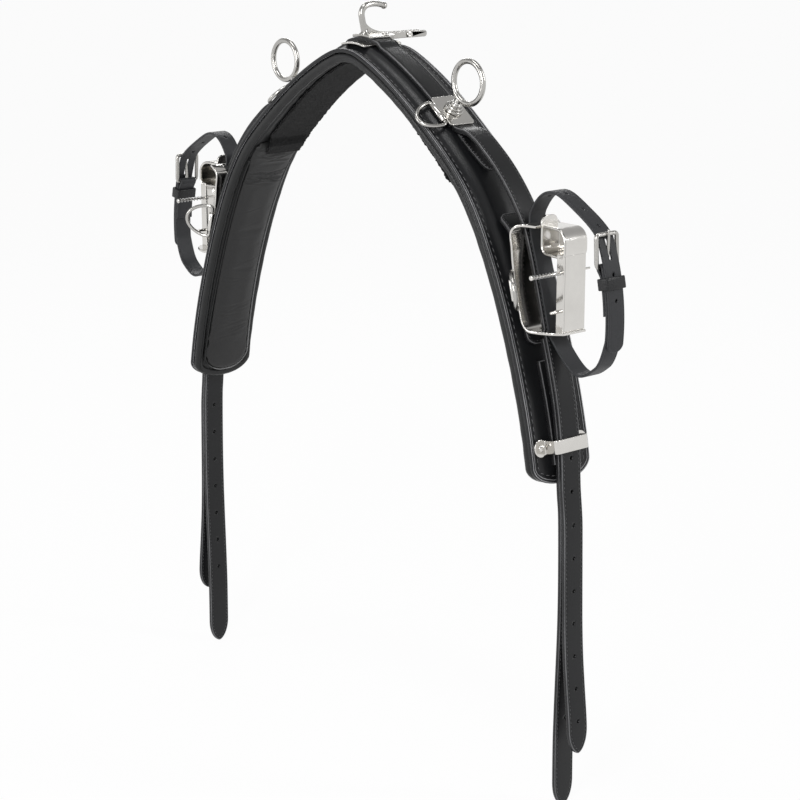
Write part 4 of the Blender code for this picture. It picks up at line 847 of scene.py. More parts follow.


# Dyed leather: pebbled grain, pull-up variation, a burnished band along its edges, and painted highlight
# lines at set distances from the edge
def makeLeather(name, look):
    look = {**hideLook, **look}
    shade = Shade(bpy.data.materials.new(name), "Principled BSDF")
    edge = shade.edgeGap()
    grain = shade.cells(look["grain"])
    pores = shade.noise(look["grain"] * look["poreShare"], 3.0, 0.6)
    broad = shade.noise(look["patch"], 4.0, 0.6)
    wear = shade.noise(look["wear"], 3.0, 0.6)
    burnish = shade.span(edge, look["edgeStart"], look["edgeBand"], 1.0, 0.0)
    tone = shade.math("ADD", shade.math("MULTIPLY", broad, 1 - look["poreTone"]),
                      shade.math("MULTIPLY", pores, look["poreTone"]))
    colour = shade.colours(tone, look["dark"], look["light"])
    # Pale lines at set distances from the edge: painted highlights where light would catch the edge and the
    # piping
    for middle, half, amount in look.get("paintedHighlightLines", ()):
        rising = shade.span(edge, middle - half, middle, 0.0, 1.0)
        falling = shade.span(edge, middle, middle + half, 1.0, 0.0)
        uneven = shade.span(broad, 0.3, 0.7, 0.55 * amount, amount)
        paintedHighlightMask = shade.math("MULTIPLY", shade.math("MULTIPLY", rising, falling), uneven)
        colour = shade.colours(paintedHighlightMask, colour, look["paintedHighlightColour"])
    shade.set(Base_Color=colour)
    rough = shade.math("MULTIPLY_ADD", wear, look["roughSpread"], look["rough"])
    rough = shade.math("MULTIPLY_ADD", burnish, look["edgeRough"], rough)
    shade.set(Roughness=rough, IOR=look["ior"], Specular_IOR_Level=look["specular"])
    shade.bump(shade.math("MULTIPLY_ADD", pores, look["poreHeight"], grain), look["bump"])
    return shade.owner


# Pressed felt: matted fibres running every way
def makeFelt(name, look):
    shade = Shade(bpy.data.materials.new(name), "Principled BSDF")
    fibres = shade.noise(900, 5.0, 0.75, distortion=1.2)
    clumps = shade.noise(160, 4.0, 0.7, distortion=0.8)
    tone = shade.math("ADD", shade.math("MULTIPLY", fibres, 0.6), shade.math("MULTIPLY", clumps, 0.4))
    shade.set(Base_Color=shade.colours(shade.span(tone, 0.3, 0.7, 0, 1), look["dark"], look["light"]))
    shade.set(Roughness=0.97, Sheen_Weight=0.1, Sheen_Roughness=0.5, Specular_IOR_Level=0.12)
    shade.bump(shade.math("MULTIPLY_ADD", clumps, 1.5, fibres), 0.0007)
    return shade.owner


# Waxed twisted thread
def makeThread(name, look):
    shade = Shade(bpy.data.materials.new(name), "Principled BSDF")
    twist = shade.node("ShaderNodeTexWave", {
        "Vector": shade.places["Object"], "Scale": 420.0, "Distortion": 2.0, "Detail": 2.0}).outputs["Fac"]
    shade.set(Base_Color=shade.colours(shade.noise(300), look["dark"], look["light"]))
    shade.set(Roughness=look["rough"])
    shade.bump(twist, 0.00012)
    return shade.owner


# Bright metal with fine polishing marks, faint smears and a slightly uneven face
def makeMetal(name, look):
    shade = Shade(bpy.data.materials.new(name), "Principled BSDF")
    stretched = shade.node("ShaderNodeMapping", {"Vector": shade.places["Object"], "Scale": look["brush"]})
    lines = shade.noise(1.0, 4.0, 0.65, stretched.outputs["Vector"])
    smears = shade.noise(34, 3.0, 0.55)
    shade.set(Base_Color=shade.colours(smears, look["dark"], look["light"]))
    shade.set(Metallic=1.0)
    rough = shade.math("MULTIPLY_ADD", smears, look["smear"], look["rough"])
    rough = shade.math("MULTIPLY_ADD", lines, look.get("lineRough", 0.05), rough)
    shade.set(Roughness=rough)
    shade.bump(shade.noise(60, 2.0, 0.5), look["bump"])
    return shade.owner


looks = {
    "strap": makeLeather("strap_leather", {
        "dark": (0.0055, 0.0057, 0.0063), "light": (0.012, 0.0124, 0.0135), "rough": 0.3, "grain": 1500,
        # The pale colour and its line near the edge are a painted highlight on the strap's edge
        "bump": 0.00006, "specular": 0.27, "paintedHighlightColour": (0.3, 0.3, 0.31),
        "paintedHighlightLines": ((0.0007, 0.0008, 0.65),)}),
    "skirt": makeLeather("skirt_leather", {
        "dark": (0.0065, 0.0068, 0.0076), "light": (0.0135, 0.014, 0.0154), "rough": 0.26, "grain": 1250,
        "bump": 0.00005, "roughSpread": 0.12, "edgeBand": 0.005, "specular": 0.3,
        # The pale colour and its two lines over the piping are a painted highlight
        "paintedHighlightColour": (0.6, 0.6, 0.62),
        "paintedHighlightLines": ((0.0012, 0.0008, 0.85), (0.0036, 0.0007, 0.7))}),
    "panel": makeLeather("panel_leather", {
        "dark": (0.006, 0.0062, 0.0066), "light": (0.013, 0.0134, 0.014), "rough": 0.36, "grain": 1100,
        "bump": 0.00008, "specular": 0.32}),
    "pad": makeLeather("pad_leather", {
        "dark": (0.013, 0.013, 0.0134), "light": (0.022, 0.022, 0.0224), "rough": 0.42, "grain": 1000,
        "bump": 0.0001, "specular": 0.32}),
    "wrap": makeLeather("wrap_leather", {
        "dark": (0.018, 0.0187, 0.021), "light": (0.031, 0.032, 0.0353), "rough": 0.44, "grain": 1700,
        "bump": 0.00006, "specular": 0.32}),
    "felt": makeFelt("felt", {"dark": (0.0012, 0.0012, 0.0013), "light": (0.012, 0.012, 0.0125)}),
    "thread": makeThread("thread", {
        "dark": (0.05, 0.05, 0.052), "light": (0.11, 0.11, 0.113), "rough": 0.5}),
    # The welt's pale colour is a painted highlight along the cushion's rear and bottom edge
    "welt": makeLeather("welt_leather", {
        "dark": (0.09, 0.09, 0.092), "light": (0.15, 0.15, 0.153), "rough": 0.22, "grain": 1600,
        "bump": 0.00004, "specular": 0.6}),
    "paleThread": makeThread("pale_thread", {
        "dark": (0.1, 0.1, 0.103), "light": (0.2, 0.2, 0.206), "rough": 0.45}),
    "darkThread": makeThread("dark_thread", {
        "dark": (0.02, 0.02, 0.021), "light": (0.05, 0.05, 0.052), "rough": 0.5}),
    "steel": makeMetal("polished_steel", {
        "dark": (0.57, 0.555, 0.53), "light": (0.73, 0.715, 0.685), "rough": 0.09, "smear": 0.07,
        "brush": (60, 500, 60), "lineRough": 0.03, "bump": 0.00002}),
    "plated": makeMetal("plated_wire", {
        "dark": (0.38, 0.372, 0.355), "light": (0.52, 0.51, 0.49), "rough": 0.18, "smear": 0.06,
        "brush": (200, 200, 200), "lineRough": 0.02, "bump": 0.000004}),
    "spring": makeMetal("spring_steel", {
        "dark": (0.36, 0.36, 0.36), "light": (0.5, 0.5, 0.5), "rough": 0.26, "smear": 0.1,
        "brush": (600, 600, 600), "bump": 0.00002}),
}
print("materials made")


# Make a work's mesh and settle it on its body, in place of its node
def dress(work, node, kind, finish, body="saddle", weld=False):
    piece = work.make(node + "_" + kind, [looks[finish]])
    settle(merge(piece) if weld else piece, body, [node])


# A round bead along the edge, at a distance from it
def bead(gap, middle, half, height):
    share = np.clip(np.abs(gap - middle) / half, 0, 1)
    return height * np.sqrt(1 - share ** 2)


def groove(gap, middle, half, depth):
    share = np.clip(np.abs(gap - middle) / half, 0, 1)
    return -depth * (1 - share ** 2) ** 2


# The skirt and the panel beneath it

ridgeLook = {"half": 0.017, "shoulder": 0.010, "fade": 0.024}
skirtLook = {
    "half": 0.0375, "thickness": 0.003, "depth": 0.019, "edge": 0.0009, "across": 26, "height": -0.0015,
    "rows": np.array((0.25, 0.5, 0.75, 1.0, 1.3, 1.7, 2.05, 2.3, 2.6, 3.0, 3.4, 3.8, 4.2, 4.5, 5.2, 6.4,
                      7.0, 7.5, 7.8, 8.1, 8.6, 9.2)) / 0.9,
    "piping": 0.0011, "secondPiping": 0.0034, "pipingHalf": 0.0011, "pipingHeight": 0.0009,
    "seam": 0.0078, "seamHalf": 0.0012, "seamDepth": 0.00035, "thread": 0.00032, "pitch": 0.0074,
    "fill": 0.7,
}
panelLook = {
    "half": 0.0369, "shorter": 0.0004, "thickness": 0.0087, "depth": 0.0186, "edge": 0.0036, "across": 16,
    "height": (heights["panelTop"] + heights["panelLow"]) / 2,
    "rows": np.array((3.9, 4.4, 5.0, 5.6, 6.2, 6.8, 7.3, 7.8, 8.3, 8.8, 9.3, 9.8, 10.3, 10.8, 11.4,
                      12.2)) / 3.6,
    "roll": 0.0046, "rollHalf": 0.0042, "rollHeight": 0.0006, "dents": 18, "dentDepth": 0.00007,
    "seam": 0.0088, "seamHalf": 0.0026, "seamDepth": 0.0017, "threadDepth": 0.0014,
    "thread": 0.0003, "pitch": 0.0046, "fill": 0.62,
}


# The raised ridge of the skirt over the hidden tree
def ridgeLift(along, across):
    look = ridgeLook
    fade = smoothStep(1 - (np.abs(along) - places["ridgeEnd"]) / look["fade"])
    side = smoothStep((look["half"] + look["shoulder"] - np.abs(across)) / look["shoulder"])
    return heights["ridge"] * fade * side


# A band of the saddle from foot to foot, with a row of stitches round it inside its edge
def makeBand(node, finish, look, size, thread, seamPlace, seamHeight, **shape):
    work = Work()
    edges = strapEdges(-size, size, look["half"], look["depth"], look["depth"])
    strip(work, archPlace, -size, size, edges, look, **shape)
    dress(work, node, "leather", finish, weld=True)
    seam = Work()
    stitches(seam, seamLoop(size, look), seamPlace, seamHeight, look)
    settle(seam.make(node + "_seam", [looks[thread]]), "saddle")


# The outer band, with two rows of piping at its edge and a seam inside them
def makeSkirt():
    look = skirtLook

    def relief(gap, along, across):
        rise = bead(gap, look["piping"], look["pipingHalf"], look["pipingHeight"])
        rise = rise + bead(gap, look["secondPiping"], look["pipingHalf"], look["pipingHeight"] * 0.75)
        return rise + groove(gap, look["seam"], look["seamHalf"], look["seamDepth"])

    def seamHeight(along, across):
        return ridgeLift(along, across) - 0.0001

    makeBand("saddle_skirt", "skirt", look, arch["halfLength"], "paleThread", archPlace, seamHeight,
             relief=relief, lift=ridgeLift)


# The foam-filled underside: a rolled rim, a stitched groove inside it and soft dents
def makePanel():
    look = panelLook
    rng = np.random.default_rng(4)
    dents = rng.uniform(-1, 1, (look["dents"], 4))

    def under(gap, along, across):
        soft = groove(gap, look["seam"], look["seamHalf"], look["seamDepth"])
        for phase, speed, tilt, strength in dents:
            wave = np.sin(along * (220 + 160 * speed) + across * 90 * tilt + phase * 9)
            soft = soft + look["dentDepth"] * strength * wave
        return soft + bead(gap, look["roll"], look["rollHalf"], look["rollHeight"])

    def underPlace(along, across, out):
        return archPlace(along, across, -out)

    makeBand("saddle_panel", "panel", look, arch["halfLength"] - look["shorter"], "darkThread", underPlace,
             -heights["panelLow"] - look["threadDepth"], underRelief=under)


# The felt strip under the crown

liningLook = {
    "half": 0.026, "halfLength": 0.196, "leftEnd": 0.197, "rightEnd": 0.205, "thickness": 0.0024,
    "skew": 0.009, "ragged": 0.0012, "marks": 260, "step": 0.0016, "across": 34, "edge": 0.0008,
    "height": (heights["liningTop"] + heights["liningLow"]) / 2, "fuzz": 0.00025,
    "dropStart": 0.181, "dropLength": 0.010, "drop": 0.0054, "dropHalf": 0.0312, "dropEdge": 0.004,
}


# Cut roughly, lying askew, and running over the start of both cushions
def makeLining():
    look = liningLook
    rng = np.random.default_rng(7)
    length = look["halfLength"]
    marks = np.linspace(-length - 0.01, length + 0.01, look["marks"])
    fine = rng.normal(0, look["ragged"] / 2, (2, look["marks"]))
    jitter = fine + rng.normal(0, look["ragged"] / 3, (2, look["marks"])).cumsum(1) * 0.12

    def edges(along):
        slide = -along / length * look["skew"]
        low = slide - look["half"] + np.interp(along, marks, jitter[0])
        high = slide + look["half"] + np.interp(along, marks, jitter[1])
        return low, high

    def lift(along, across):
        near = smoothStep((np.abs(along) - look["dropStart"]) / look["dropLength"])
        over = smoothStep((look["dropHalf"] - np.abs(across)) / look["dropEdge"])
        ragged = 0.0001 * np.sin(across * 1500 + along * 300)
        return -(look["drop"] * over + ragged) * near

    def fuzz(gap, along, across):
        return look["fuzz"] * np.sin(along * 2300 + across * 1700) * np.sin(across * 2900 - along * 700)

    work = Work()
    strip(work, archPlace, -look["rightEnd"], look["leftEnd"], edges, look,
          relief=fuzz, underRelief=fuzz, lift=lift)
    dress(work, "crown_lining", "felt", "felt")


# The stuffed cushions on the inner face

cushionLook = {
    "start": 0.186, "endMargin": 0.010, "half": 0.0295, "waist": 0.0035, "crown": 0.0062, "round": 0.022,
    "startRound": 0.016, "rise": 0.013, "startLift": 0.0026, "thickness": 0.003, "edge": 0.0013,
    "across": 26, "rows": (1.6, 2.4, 3.4, 4.6, 6), "shoulder": 0.007,
    "voxel": 0.0035, "pressure": 4.0, "frames": 20, "cap": 0.0022, "sewn": 0.0016,
    "welt": 0.0009, "weltDepth": 0.0032, "frontWeltDepth": 0.0024,
    "creases": ((0.206, 0.006, 24, 0.00055), (0.243, 0.008, 20, 0.0007), (0.425, 0.02, 18, 0.0003),
                (0.33, 0.11, 22, 0.00012)),  # place along, spread, number and depth
    "creaseMiddle": 0.018, "creaseReach": (0.008, 0.022), "creaseWide": (0.0008, 0.0017),
    "creaseSlope": 0.25, "creaseCurve": 8, "ridgeShare": 0.6, "ridgePlace": 1.6,
    "innerFace": 0.002, "innerFade": 0.003,
    "quality": 4, "tension": 15, "bending": 0.5, "smooth": 2,
}


# A cushion is swollen by a cloth simulation, then creased by use
def makeCushion():
    look = cushionLook
    end = arch["halfLength"] - look["endMargin"]
    top = heights["panelLow"] + 0.0002

    def edges(along):
        share = (along - look["start"]) / (end - look["start"])
        width = endHalf(along, look["start"], end, look["half"], look["startRound"], look["round"])
        width = width * (1 - look["waist"] / look["half"] * np.sin(pi * share))
        return -width, width

    def rising(along):
        return smoothStep((along - look["start"]) / look["rise"])

    def crown(gap, along, across):
        fullness = 1 - (1 - np.clip(gap / look["shoulder"], 0, 1)) ** 2.6
        return (look["crown"] - look["thickness"]) * fullness * rising(along)

    def lift(along, across):
        return look["startLift"] * (1 - rising(along))

    work = Work()
    strip(work, archPlace, look["start"], end, edges, look, startDepth=look["startRound"],
          endDepth=look["round"], underRelief=crown, lift=lift, height=top - look["thickness"] / 2)
    cushion = merge(work.make("left_cushion_leather", [looks["pad"]]))
    swell(cushion, look)
    creaseCushion(cushion, look)
    settle(cushion, "saddle", ["left_pad_cushion"])
    foot = end - look["round"]
    alongs = np.concatenate((np.linspace(look["start"] + 0.006, foot, 80),
                             foot + (look["round"] - 0.0004) * np.sin(np.linspace(0, pi / 2, 24))))
    low, high = edges(alongs)
    low[-1] = high[-1] = 0
    front = np.stack((alongs, low), -1)
    path = np.vstack((front[-14:], np.stack((alongs, high), -1)[8:-1][::-1]))
    ends = np.minimum(np.arange(len(path)), np.arange(len(path))[::-1])
    thick = look["welt"] * (0.15 + 0.85 * smoothStep(ends / 9))
    welt = Work()
    # The rear and bottom run takes the pale welt colour, a painted highlight; the front run takes the dark
    # panel leather
    for run, depth, radius, slot in ((path, look["weltDepth"], thick, 0),
                                     (front[8:-8], look["frontWeltDepth"], look["welt"], 1)):
        line = archPlace(run[:, 0], run[:, 1], np.full(len(run), top - depth))
        tube(welt, line, radius, 12, slot=slot)
    settle(welt.make("left_cushion_welt", [looks["welt"], looks["panel"]]), "saddle")


# Distances along the arch, across it and outward, of points near it
def alongAcross(points):
    samples = np.linspace(0, archLine.length, 1200)
    line, heading = archLine.at(samples)
    flat = points[:, [0, 2]]
    nearest = ((flat[:, None] - line[None]) ** 2).sum(2).argmin(1)
    delta = flat - line[nearest]
    out = -heading[nearest, 1] * delta[:, 0] + heading[nearest, 0] * delta[:, 1]
    ahead = (heading[nearest] * delta).sum(1)
    return samples[nearest] + ahead, points[:, 1], out


# Fill the cushion with a cloth simulation and keep the result as its mesh
def swell(cushion, look):
    remesh = cushion.modifiers.new("remesh", "REMESH")
    remesh.mode = "VOXEL"
    remesh.voxel_size = look["voxel"]
    remesh.use_smooth_shade = True
    bake(cushion)
    rest = readPoints(cushion.data)
    out = alongAcross(rest)[2]
    pins = cushion.vertex_groups.new(name="pins")
    for index in np.nonzero(out > heights["panelLow"] - look["sewn"])[0]:
        pins.add([int(index)], 1.0, "REPLACE")
    cloth = cushion.modifiers.new("cloth", "CLOTH")
    cloth.settings.vertex_group_mass = "pins"
    cloth.settings.use_pressure = True
    cloth.settings.uniform_pressure_force = look["pressure"]
    cloth.settings.effector_weights.gravity = 0
    cloth.settings.quality = look["quality"]
    cloth.settings.tension_stiffness = look["tension"]
    cloth.settings.bending_stiffness = look["bending"]
    cloth.point_cache.frame_start = 1
    cloth.point_cache.frame_end = look["frames"]
    scene = bpy.context.scene
    for number in range(1, look["frames"] + 1):
        scene.frame_set(number)
    mesh = evaluatedMesh(cushion)
    travel = readPoints(mesh) - rest
    length = np.linalg.norm(travel, axis=1)
    scale = np.minimum(1, look["cap"] / np.maximum(length, 1e-9))
    cushion.modifiers.clear()
    cushion.vertex_groups.clear()
    writePoints(cushion.data, rest + travel * scale[:, None])
    cushion.data.update()
    bpy.data.meshes.remove(mesh)
    scene.frame_set(1)
    subdivision = cushion.modifiers.new("subdivision", "SUBSURF")
    subdivision.levels = look["smooth"]
    bake(cushion)
    print("cushion swollen:", len(rest), "points, most travel mm", round(float(length.max()) * 1000, 2))


# Wrinkles across the cushion, most where it bends below the lining and near its foot
def creaseCushion(cushion, look):
    mesh = cushion.data
    points = readPoints(mesh)
    normals = readPoints(mesh, "normal")
    along, across, out = alongAcross(points)
    rng = np.random.default_rng(11)
    depth = np.zeros(len(points))
    for centre, spread, number, strength in look["creases"]:
        for _ in range(number):
            place = centre + rng.normal(0, spread)
            middle = rng.uniform(-look["creaseMiddle"], look["creaseMiddle"])
            reach = rng.uniform(*look["creaseReach"])
            wide = rng.uniform(*look["creaseWide"])
            slope = rng.uniform(-look["creaseSlope"], look["creaseSlope"])
            curve = rng.uniform(-look["creaseCurve"], look["creaseCurve"])
            offset = across - middle
            line = along - place - slope * offset - curve * offset ** 2
            fade = np.exp(-(offset / reach) ** 4)
            valley = np.exp(-(line / wide) ** 2) * fade
            ridge = np.exp(-((line - look["ridgePlace"] * wide) / wide) ** 2) * fade
            depth += strength * (ridge * look["ridgeShare"] - valley) * rng.uniform(0.5, 1)
    facing = np.clip((heights["panelLow"] - look["innerFace"] - out) / look["innerFade"], 0, 1)
    writePoints(mesh, points + normals * (depth * facing)[:, None])
    writeLay(mesh, np.stack((along, np.clip(look["half"] - np.abs(across), 0, 1)), -1))
    mesh.polygons.foreach_set("use_smooth", [True] * len(mesh.polygons))
    mesh.update()


# The middle of the saddle: ridge strap, crown plate, check hook and fork

# Edge functions of a rectangle with rounded corners
def plateEdges(start, end, low, high, corner):
    def edges(along):
        turn = np.clip(1 - np.minimum(along - start, end - along) / corner, 0, 1)
        cut = corner * (1 - np.sqrt(1 - turn ** 2))
        return low + cut, high - cut
    return edges


# A thin plate with rounded corners that lies on the arch
def archPlate(work, middle, look, height):
    low = middle - look["half"]
    high = middle + look["half"]
    edges = plateEdges(low, high, look["front"], look["rear"], look["corner"])
    strip(work, archPlace, low, high, edges, look, depth=look["corner"], height=height)


def spot(matrix, *place):
    return np.array(matrix @ Vector(place))


ridgeStrapLook = {
    "half": 0.013, "thickness": strapSize["thickness"], "edge": 0.0012,
    "rows": (1.6, 1.9, 2.1, 2.4, 2.8, 3.4),
    "height": (heights["strapBase"] + heights["strapTop"]) / 2 - 0.0002, "crown": 0.0004,
    "crease": 0.0026, "creaseHalf": 0.0006, "creaseDepth": 0.0003, "humpHalf": 0.020, "humpFade": 0.006,
}


# The strap from terret to terret, creased along both edges and humped over the crown plate
def makeRidgeStrap():
    look = ridgeStrapLook
    end = places["ridgeStrapEnd"]

    def lift(along, across):
        return heights["hump"] * smoothStep(1 - (np.abs(along) - look["humpHalf"]) / look["humpFade"])

    def relief(gap, along, across):
        crown = look["crown"] * (1 - np.clip(np.abs(across) / look["half"], 0, 1) ** 2)
        return crown + groove(gap, look["crease"], look["creaseHalf"], look["creaseDepth"])

    work = Work()
    strip(work, archPlace, -end, end, strapEdges(-end, end, look["half"]), look, lift=lift, relief=relief)
    dress(work, "ridge_strap", "leather", "strap")


crownPlateLook = {
    "half": 0.017, "front": -0.026, "rear": 0.024, "corner": 0.003, "thickness": 0.002, "edge": 0.0005,
    "across": 14,
}


def makeCrownPlate():
    work = Work()
    archPlate(work, 0, crownPlateLook, heights["strapBase"] + 0.001)
    dress(work, "crown_plate", "metal", "steel")


hookLook = {
    "half": 0.013, "front": -0.014, "rear": 0.018, "corner": 0.003, "thickness": 0.0025, "edge": 0.0007,
    "across": 16, "baseLow": 0.0114, "wire": 0.0064, "hookHeight": 0.0285, "ball": 0.0035,
    "line": ((-0.33, -0.02), (-0.39, 0.26), (-0.45, 0.52), (-0.47, 0.70), (-0.40, 0.86), (-0.25, 0.96),
             (-0.02, 1.0), (0.26, 0.985), (0.53, 0.92)),
    "weld": ((0, 0.0045), (0.0002, 0.0028), (0.0007, 0.0014), (0.0016, 0.0006), (0.0024, 0.0002),
             (0.0024, -0.001)),
    "gusset": 0.0155, "gussetThickness": 0.0034, "cheek": 0.003, "gap": 0.007, "forkHeight": 0.0065,
    "forkStart": 0.014, "forkLength": 0.0525, "forkCorner": 0.0012, "bridge": 0.007,
    "screwPlace": 0.043, "screwHole": 0.0023, "screw": 0.002, "screwHead": 0.0036,
    "baseScrewPlace": 0.008, "baseScrewShift": 0.009, "baseScrew": 0.0019, "baseScrewHead": 0.0034,
}


# The hook with its ball end, the web behind its post, its base and the fork to the rear
def makeCheckHook():
    look = hookLook
    top = arch["crownZ"] + look["baseLow"] + look["thickness"]
    work = Work()
    archPlate(work, 0, look, look["baseLow"] + look["thickness"] / 2)
    curl = np.array(smoothPoints(
        [(y * look["hookHeight"], top + z * look["hookHeight"]) for y, z in look["line"]], 8))
    curl = np.stack((np.zeros(len(curl)), curl[:, 0], curl[:, 1]), -1)
    share = np.linspace(0, 1, len(curl))
    tube(work, curl, look["wire"] / 2 * (1 - 0.14 * share ** 3), 28)
    ball = [(look["ball"] * sin(a), look["ball"] * cos(a)) for a in np.linspace(0, pi, 20)]
    lathe(work, ball, Matrix.Translation(Vector(curl[-1])), 32)
    weld = [(look["wire"] / 2 + out, height) for out, height in look["weld"]]
    lathe(work, [*weld, (0, weld[-1][1])], Matrix.Translation((0, Vector(curl[0]).y - 0.0002, top)), 32)
    hook = work.make("check_hook_metal", [looks["plated"]])
    post = look["line"][1][0] * look["hookHeight"]
    rear = look["rear"]
    outline = [(post, top - 0.001), (rear, top - 0.001)]
    for angle in np.linspace(0, pi / 2, 14):
        height = top + 0.0007 + look["gusset"] * (1 - cos(angle))
        outline.append((rear - (rear - post) * sin(angle), height))
    parts = [bevelled(plate("web", outline, look["gussetThickness"], planeYz()), 0.0007)]
    start = look["forkStart"]
    low = top - look["forkHeight"]
    bulge = look["forkHeight"] / 2 * 0.98
    corners = (look["forkCorner"], bulge, bulge, look["forkCorner"])
    cheek = boxLoop(start, start + look["forkLength"], low, top, corners, 10)
    hole = circleLoop(look["screwPlace"], top - look["forkHeight"] / 2, look["screwHole"])
    for side in (-1, 1):
        x = side * (look["gap"] + look["cheek"]) / 2
        parts.append(bevelled(plate("cheek", cheek, look["cheek"], planeYz(x), [hole]), 0.0006))
    bridge = boxLoop(start + 0.0004, start + look["bridge"], low + 0.0003, top - 0.0008, (0.001,) * 4)
    parts.append(bevelled(plate("bridge", bridge, look["gap"] + 0.001, planeYz()), 0.0006))
    for part in parts:
        part.data.materials.append(looks["plated"])
        hook = joinPieces("check_hook_metal", [hook, part])
    settle(hook, "saddle", ["check_hook"])


headLook = {
    "height": 0.0018, "slotWidth": 0.0009, "slotDepth": 0.0009,
    "shares": ((0, 1), (0.55, 0.94), (0.82, 0.78), (0.97, 0.45), (1, 0.2), (1, 0), (0, 0)),
}


# A screw with a domed, slotted head at a height above its frame, in place of its node
def makeScrew(node, turn, radius, base, shankRadius, low, high, bevel):
    look = headLook
    work = Work()
    profile = [(radius * wide, look["height"] * tall + base) for wide, tall in look["shares"]]
    lathe(work, roundProfile(profile, 0.0003, 2), turn, 40)
    head = work.make("head", [looks["steel"]])
    half = look["slotWidth"] / 2
    cutter = plate("slot", boxLoop(-half, half, -radius * 1.2, radius * 1.2), look["slotDepth"] * 2,
                   turn @ Matrix.Translation((0, 0, base + look["height"])))
    combine(head, [cutter], "DIFFERENCE")
    shank = Work()
    rod(shank, spot(turn, 0, 0, low), spot(turn, 0, 0, high), shankRadius, 32, bevel)
    piece = joinPieces(node + "_metal", [head, shank.make("shank", [looks["steel"]])])
    settle(piece, "saddle", [node])


# The cross screw of the fork, and the two that hold the hook down
def makeScrews():
    look = hookLook
    reach = look["gap"] / 2 + look["cheek"]
    base = look["baseLow"] + look["thickness"]
    turn = Matrix.Translation((0, look["screwPlace"], arch["crownZ"] + base - look["forkHeight"] / 2))
    makeScrew("crupper_screw", turn @ Matrix.Rotation(pi / 2, 4, "Y"), look["screwHead"], reach + touchGap,
              look["screw"], -reach - 0.0018, reach + 0.0004, 0.0005)
    for side, node in ((1, "hook_screw_left"), (-1, "hook_screw_right")):
        place = archFrame(look["baseScrewShift"]) @ Matrix.Translation((0, side * look["baseScrewPlace"], 0))
        if side < 0:
            place = Matrix.Rotation(pi, 4, "Z") @ place
        makeScrew(node, place, look["baseScrewHead"], base + 0.0001, look["baseScrew"], base - 0.012,
                  base + 0.0006, 0.0003)


# Terrets

terretLook = {
    "front": -0.016, "rear": 0.015, "half": 0.019, "corner": 0.004, "thickness": 0.002, "edge": 0.0005,
    "across": 12, "step": 0.002,
    "barrelY": -0.0178, "barrelHeight": 0.0087, "barrel": 0.0034, "bore": 0.0022, "barrelHalf": 0.011,
    "wire": 0.0056, "major": 0.0202, "rise": 0.0346, "post": 0.003, "postLow": -0.0082,
    "collars": ((0.0094, 0.003), (0.0074, 0.0025), (0.0055, 0.003)), "neck": 0.0036,
}
deeLook = {
    "wire": 0.0019, "corner": 0.003, "startAngle": 0.22, "cornerAngle": 0.25, "points": 120,
    "terret": {"span": 0.030, "depth": 0.0225, "tilt": radians(16.5)},
    "coupler": {"span": 0.035, "depth": 0.027, "tilt": radians(41)},
}


# A D in a plane, with rounded corners at its straight side
def deePath(size):
    look = deeLook
    half = size["span"] / 2
    corner = look["corner"]
    start = look["startAngle"]
    first = look["cornerAngle"]
    points = [(x, 0.0) for x in np.linspace(-half + corner, half - corner, 14)]
    bends = [(half - corner + corner * sin(angle), corner * (1 - cos(angle)))
             for angle in np.linspace(first, pi / 2 - first, 4)]
    points += bends
    bow = np.linspace(start, pi - start, 44)
    points += [(half * cos(a) / cos(start), size["depth"] * sin(a)) for a in bow]
    points += [(-x, out) for x, out in reversed(bends)]
    loop = np.array(points + points[:1])
    lengths = runLengths(loop)
    even = readRows(np.linspace(0, lengths[-1], look["points"] + 1)[:-1], lengths, loop)
    for _ in range(2):
        even = (even * 2 + np.roll(even, 1, 0) + np.roll(even, -1, 0)) / 4
    return even


# Plate with a rolled barrel for the D ring, and the ring on its turned collar
def makeTerret():
    look = terretLook
    work = Work()
    archPlate(work, places["terret"], look, heights["plateBase"] + look["thickness"] / 2)
    turn = archFrame(places["terret"])
    y = look["barrelY"]
    h = look["barrelHeight"]
    sleeve(work, spot(turn, -look["barrelHalf"], y, h), spot(turn, look["barrelHalf"], y, h),
           look["barrel"], look["bore"])
    dress(work, "left_terret_plate", "metal", "steel")

    ring = Work()
    level = heights["plateTop"] + touchGap
    centre = heights["plateTop"] + look["rise"]
    profile = [(0, look["postLow"]), (look["post"], look["postLow"]), (look["post"], level)]
    for radius, step in look["collars"]:
        profile += [(radius - 0.0003, level), (radius, level + 0.0004), (radius, level + step - 0.0009),
                    (radius - 0.0007, level + step)]
        level += step
    neck = look["neck"]
    low = centre - look["major"]
    profile += [(neck + 0.0006, level + 0.0004), (neck, level + 0.0016), (neck - 0.0002, low - 0.001),
                (0, low + 0.0008)]
    lathe(ring, roundProfile(profile, 0.0004, 3), turn, 56)
    circle = [spot(turn, look["major"] * cos(a), 0, centre + look["major"] * sin(a))
              for a in np.linspace(0, 2 * pi, 96, endpoint=False)]
    tube(ring, circle, look["wire"] / 2, 28, cyclic=True)
    dress(ring, "left_terret_ring", "metal", "plated")

    size = deeLook["terret"]
    points = [spot(turn, a, y - out * cos(size["tilt"]), h - out * sin(size["tilt"]))
              for a, out in deePath(size)]
    dee = Work()
    tube(dee, points, deeLook["wire"], 24, cyclic=True)
    dress(dee, "left_terret_dee", "wire", "plated", "left_terret_dee")


# Straps and billets

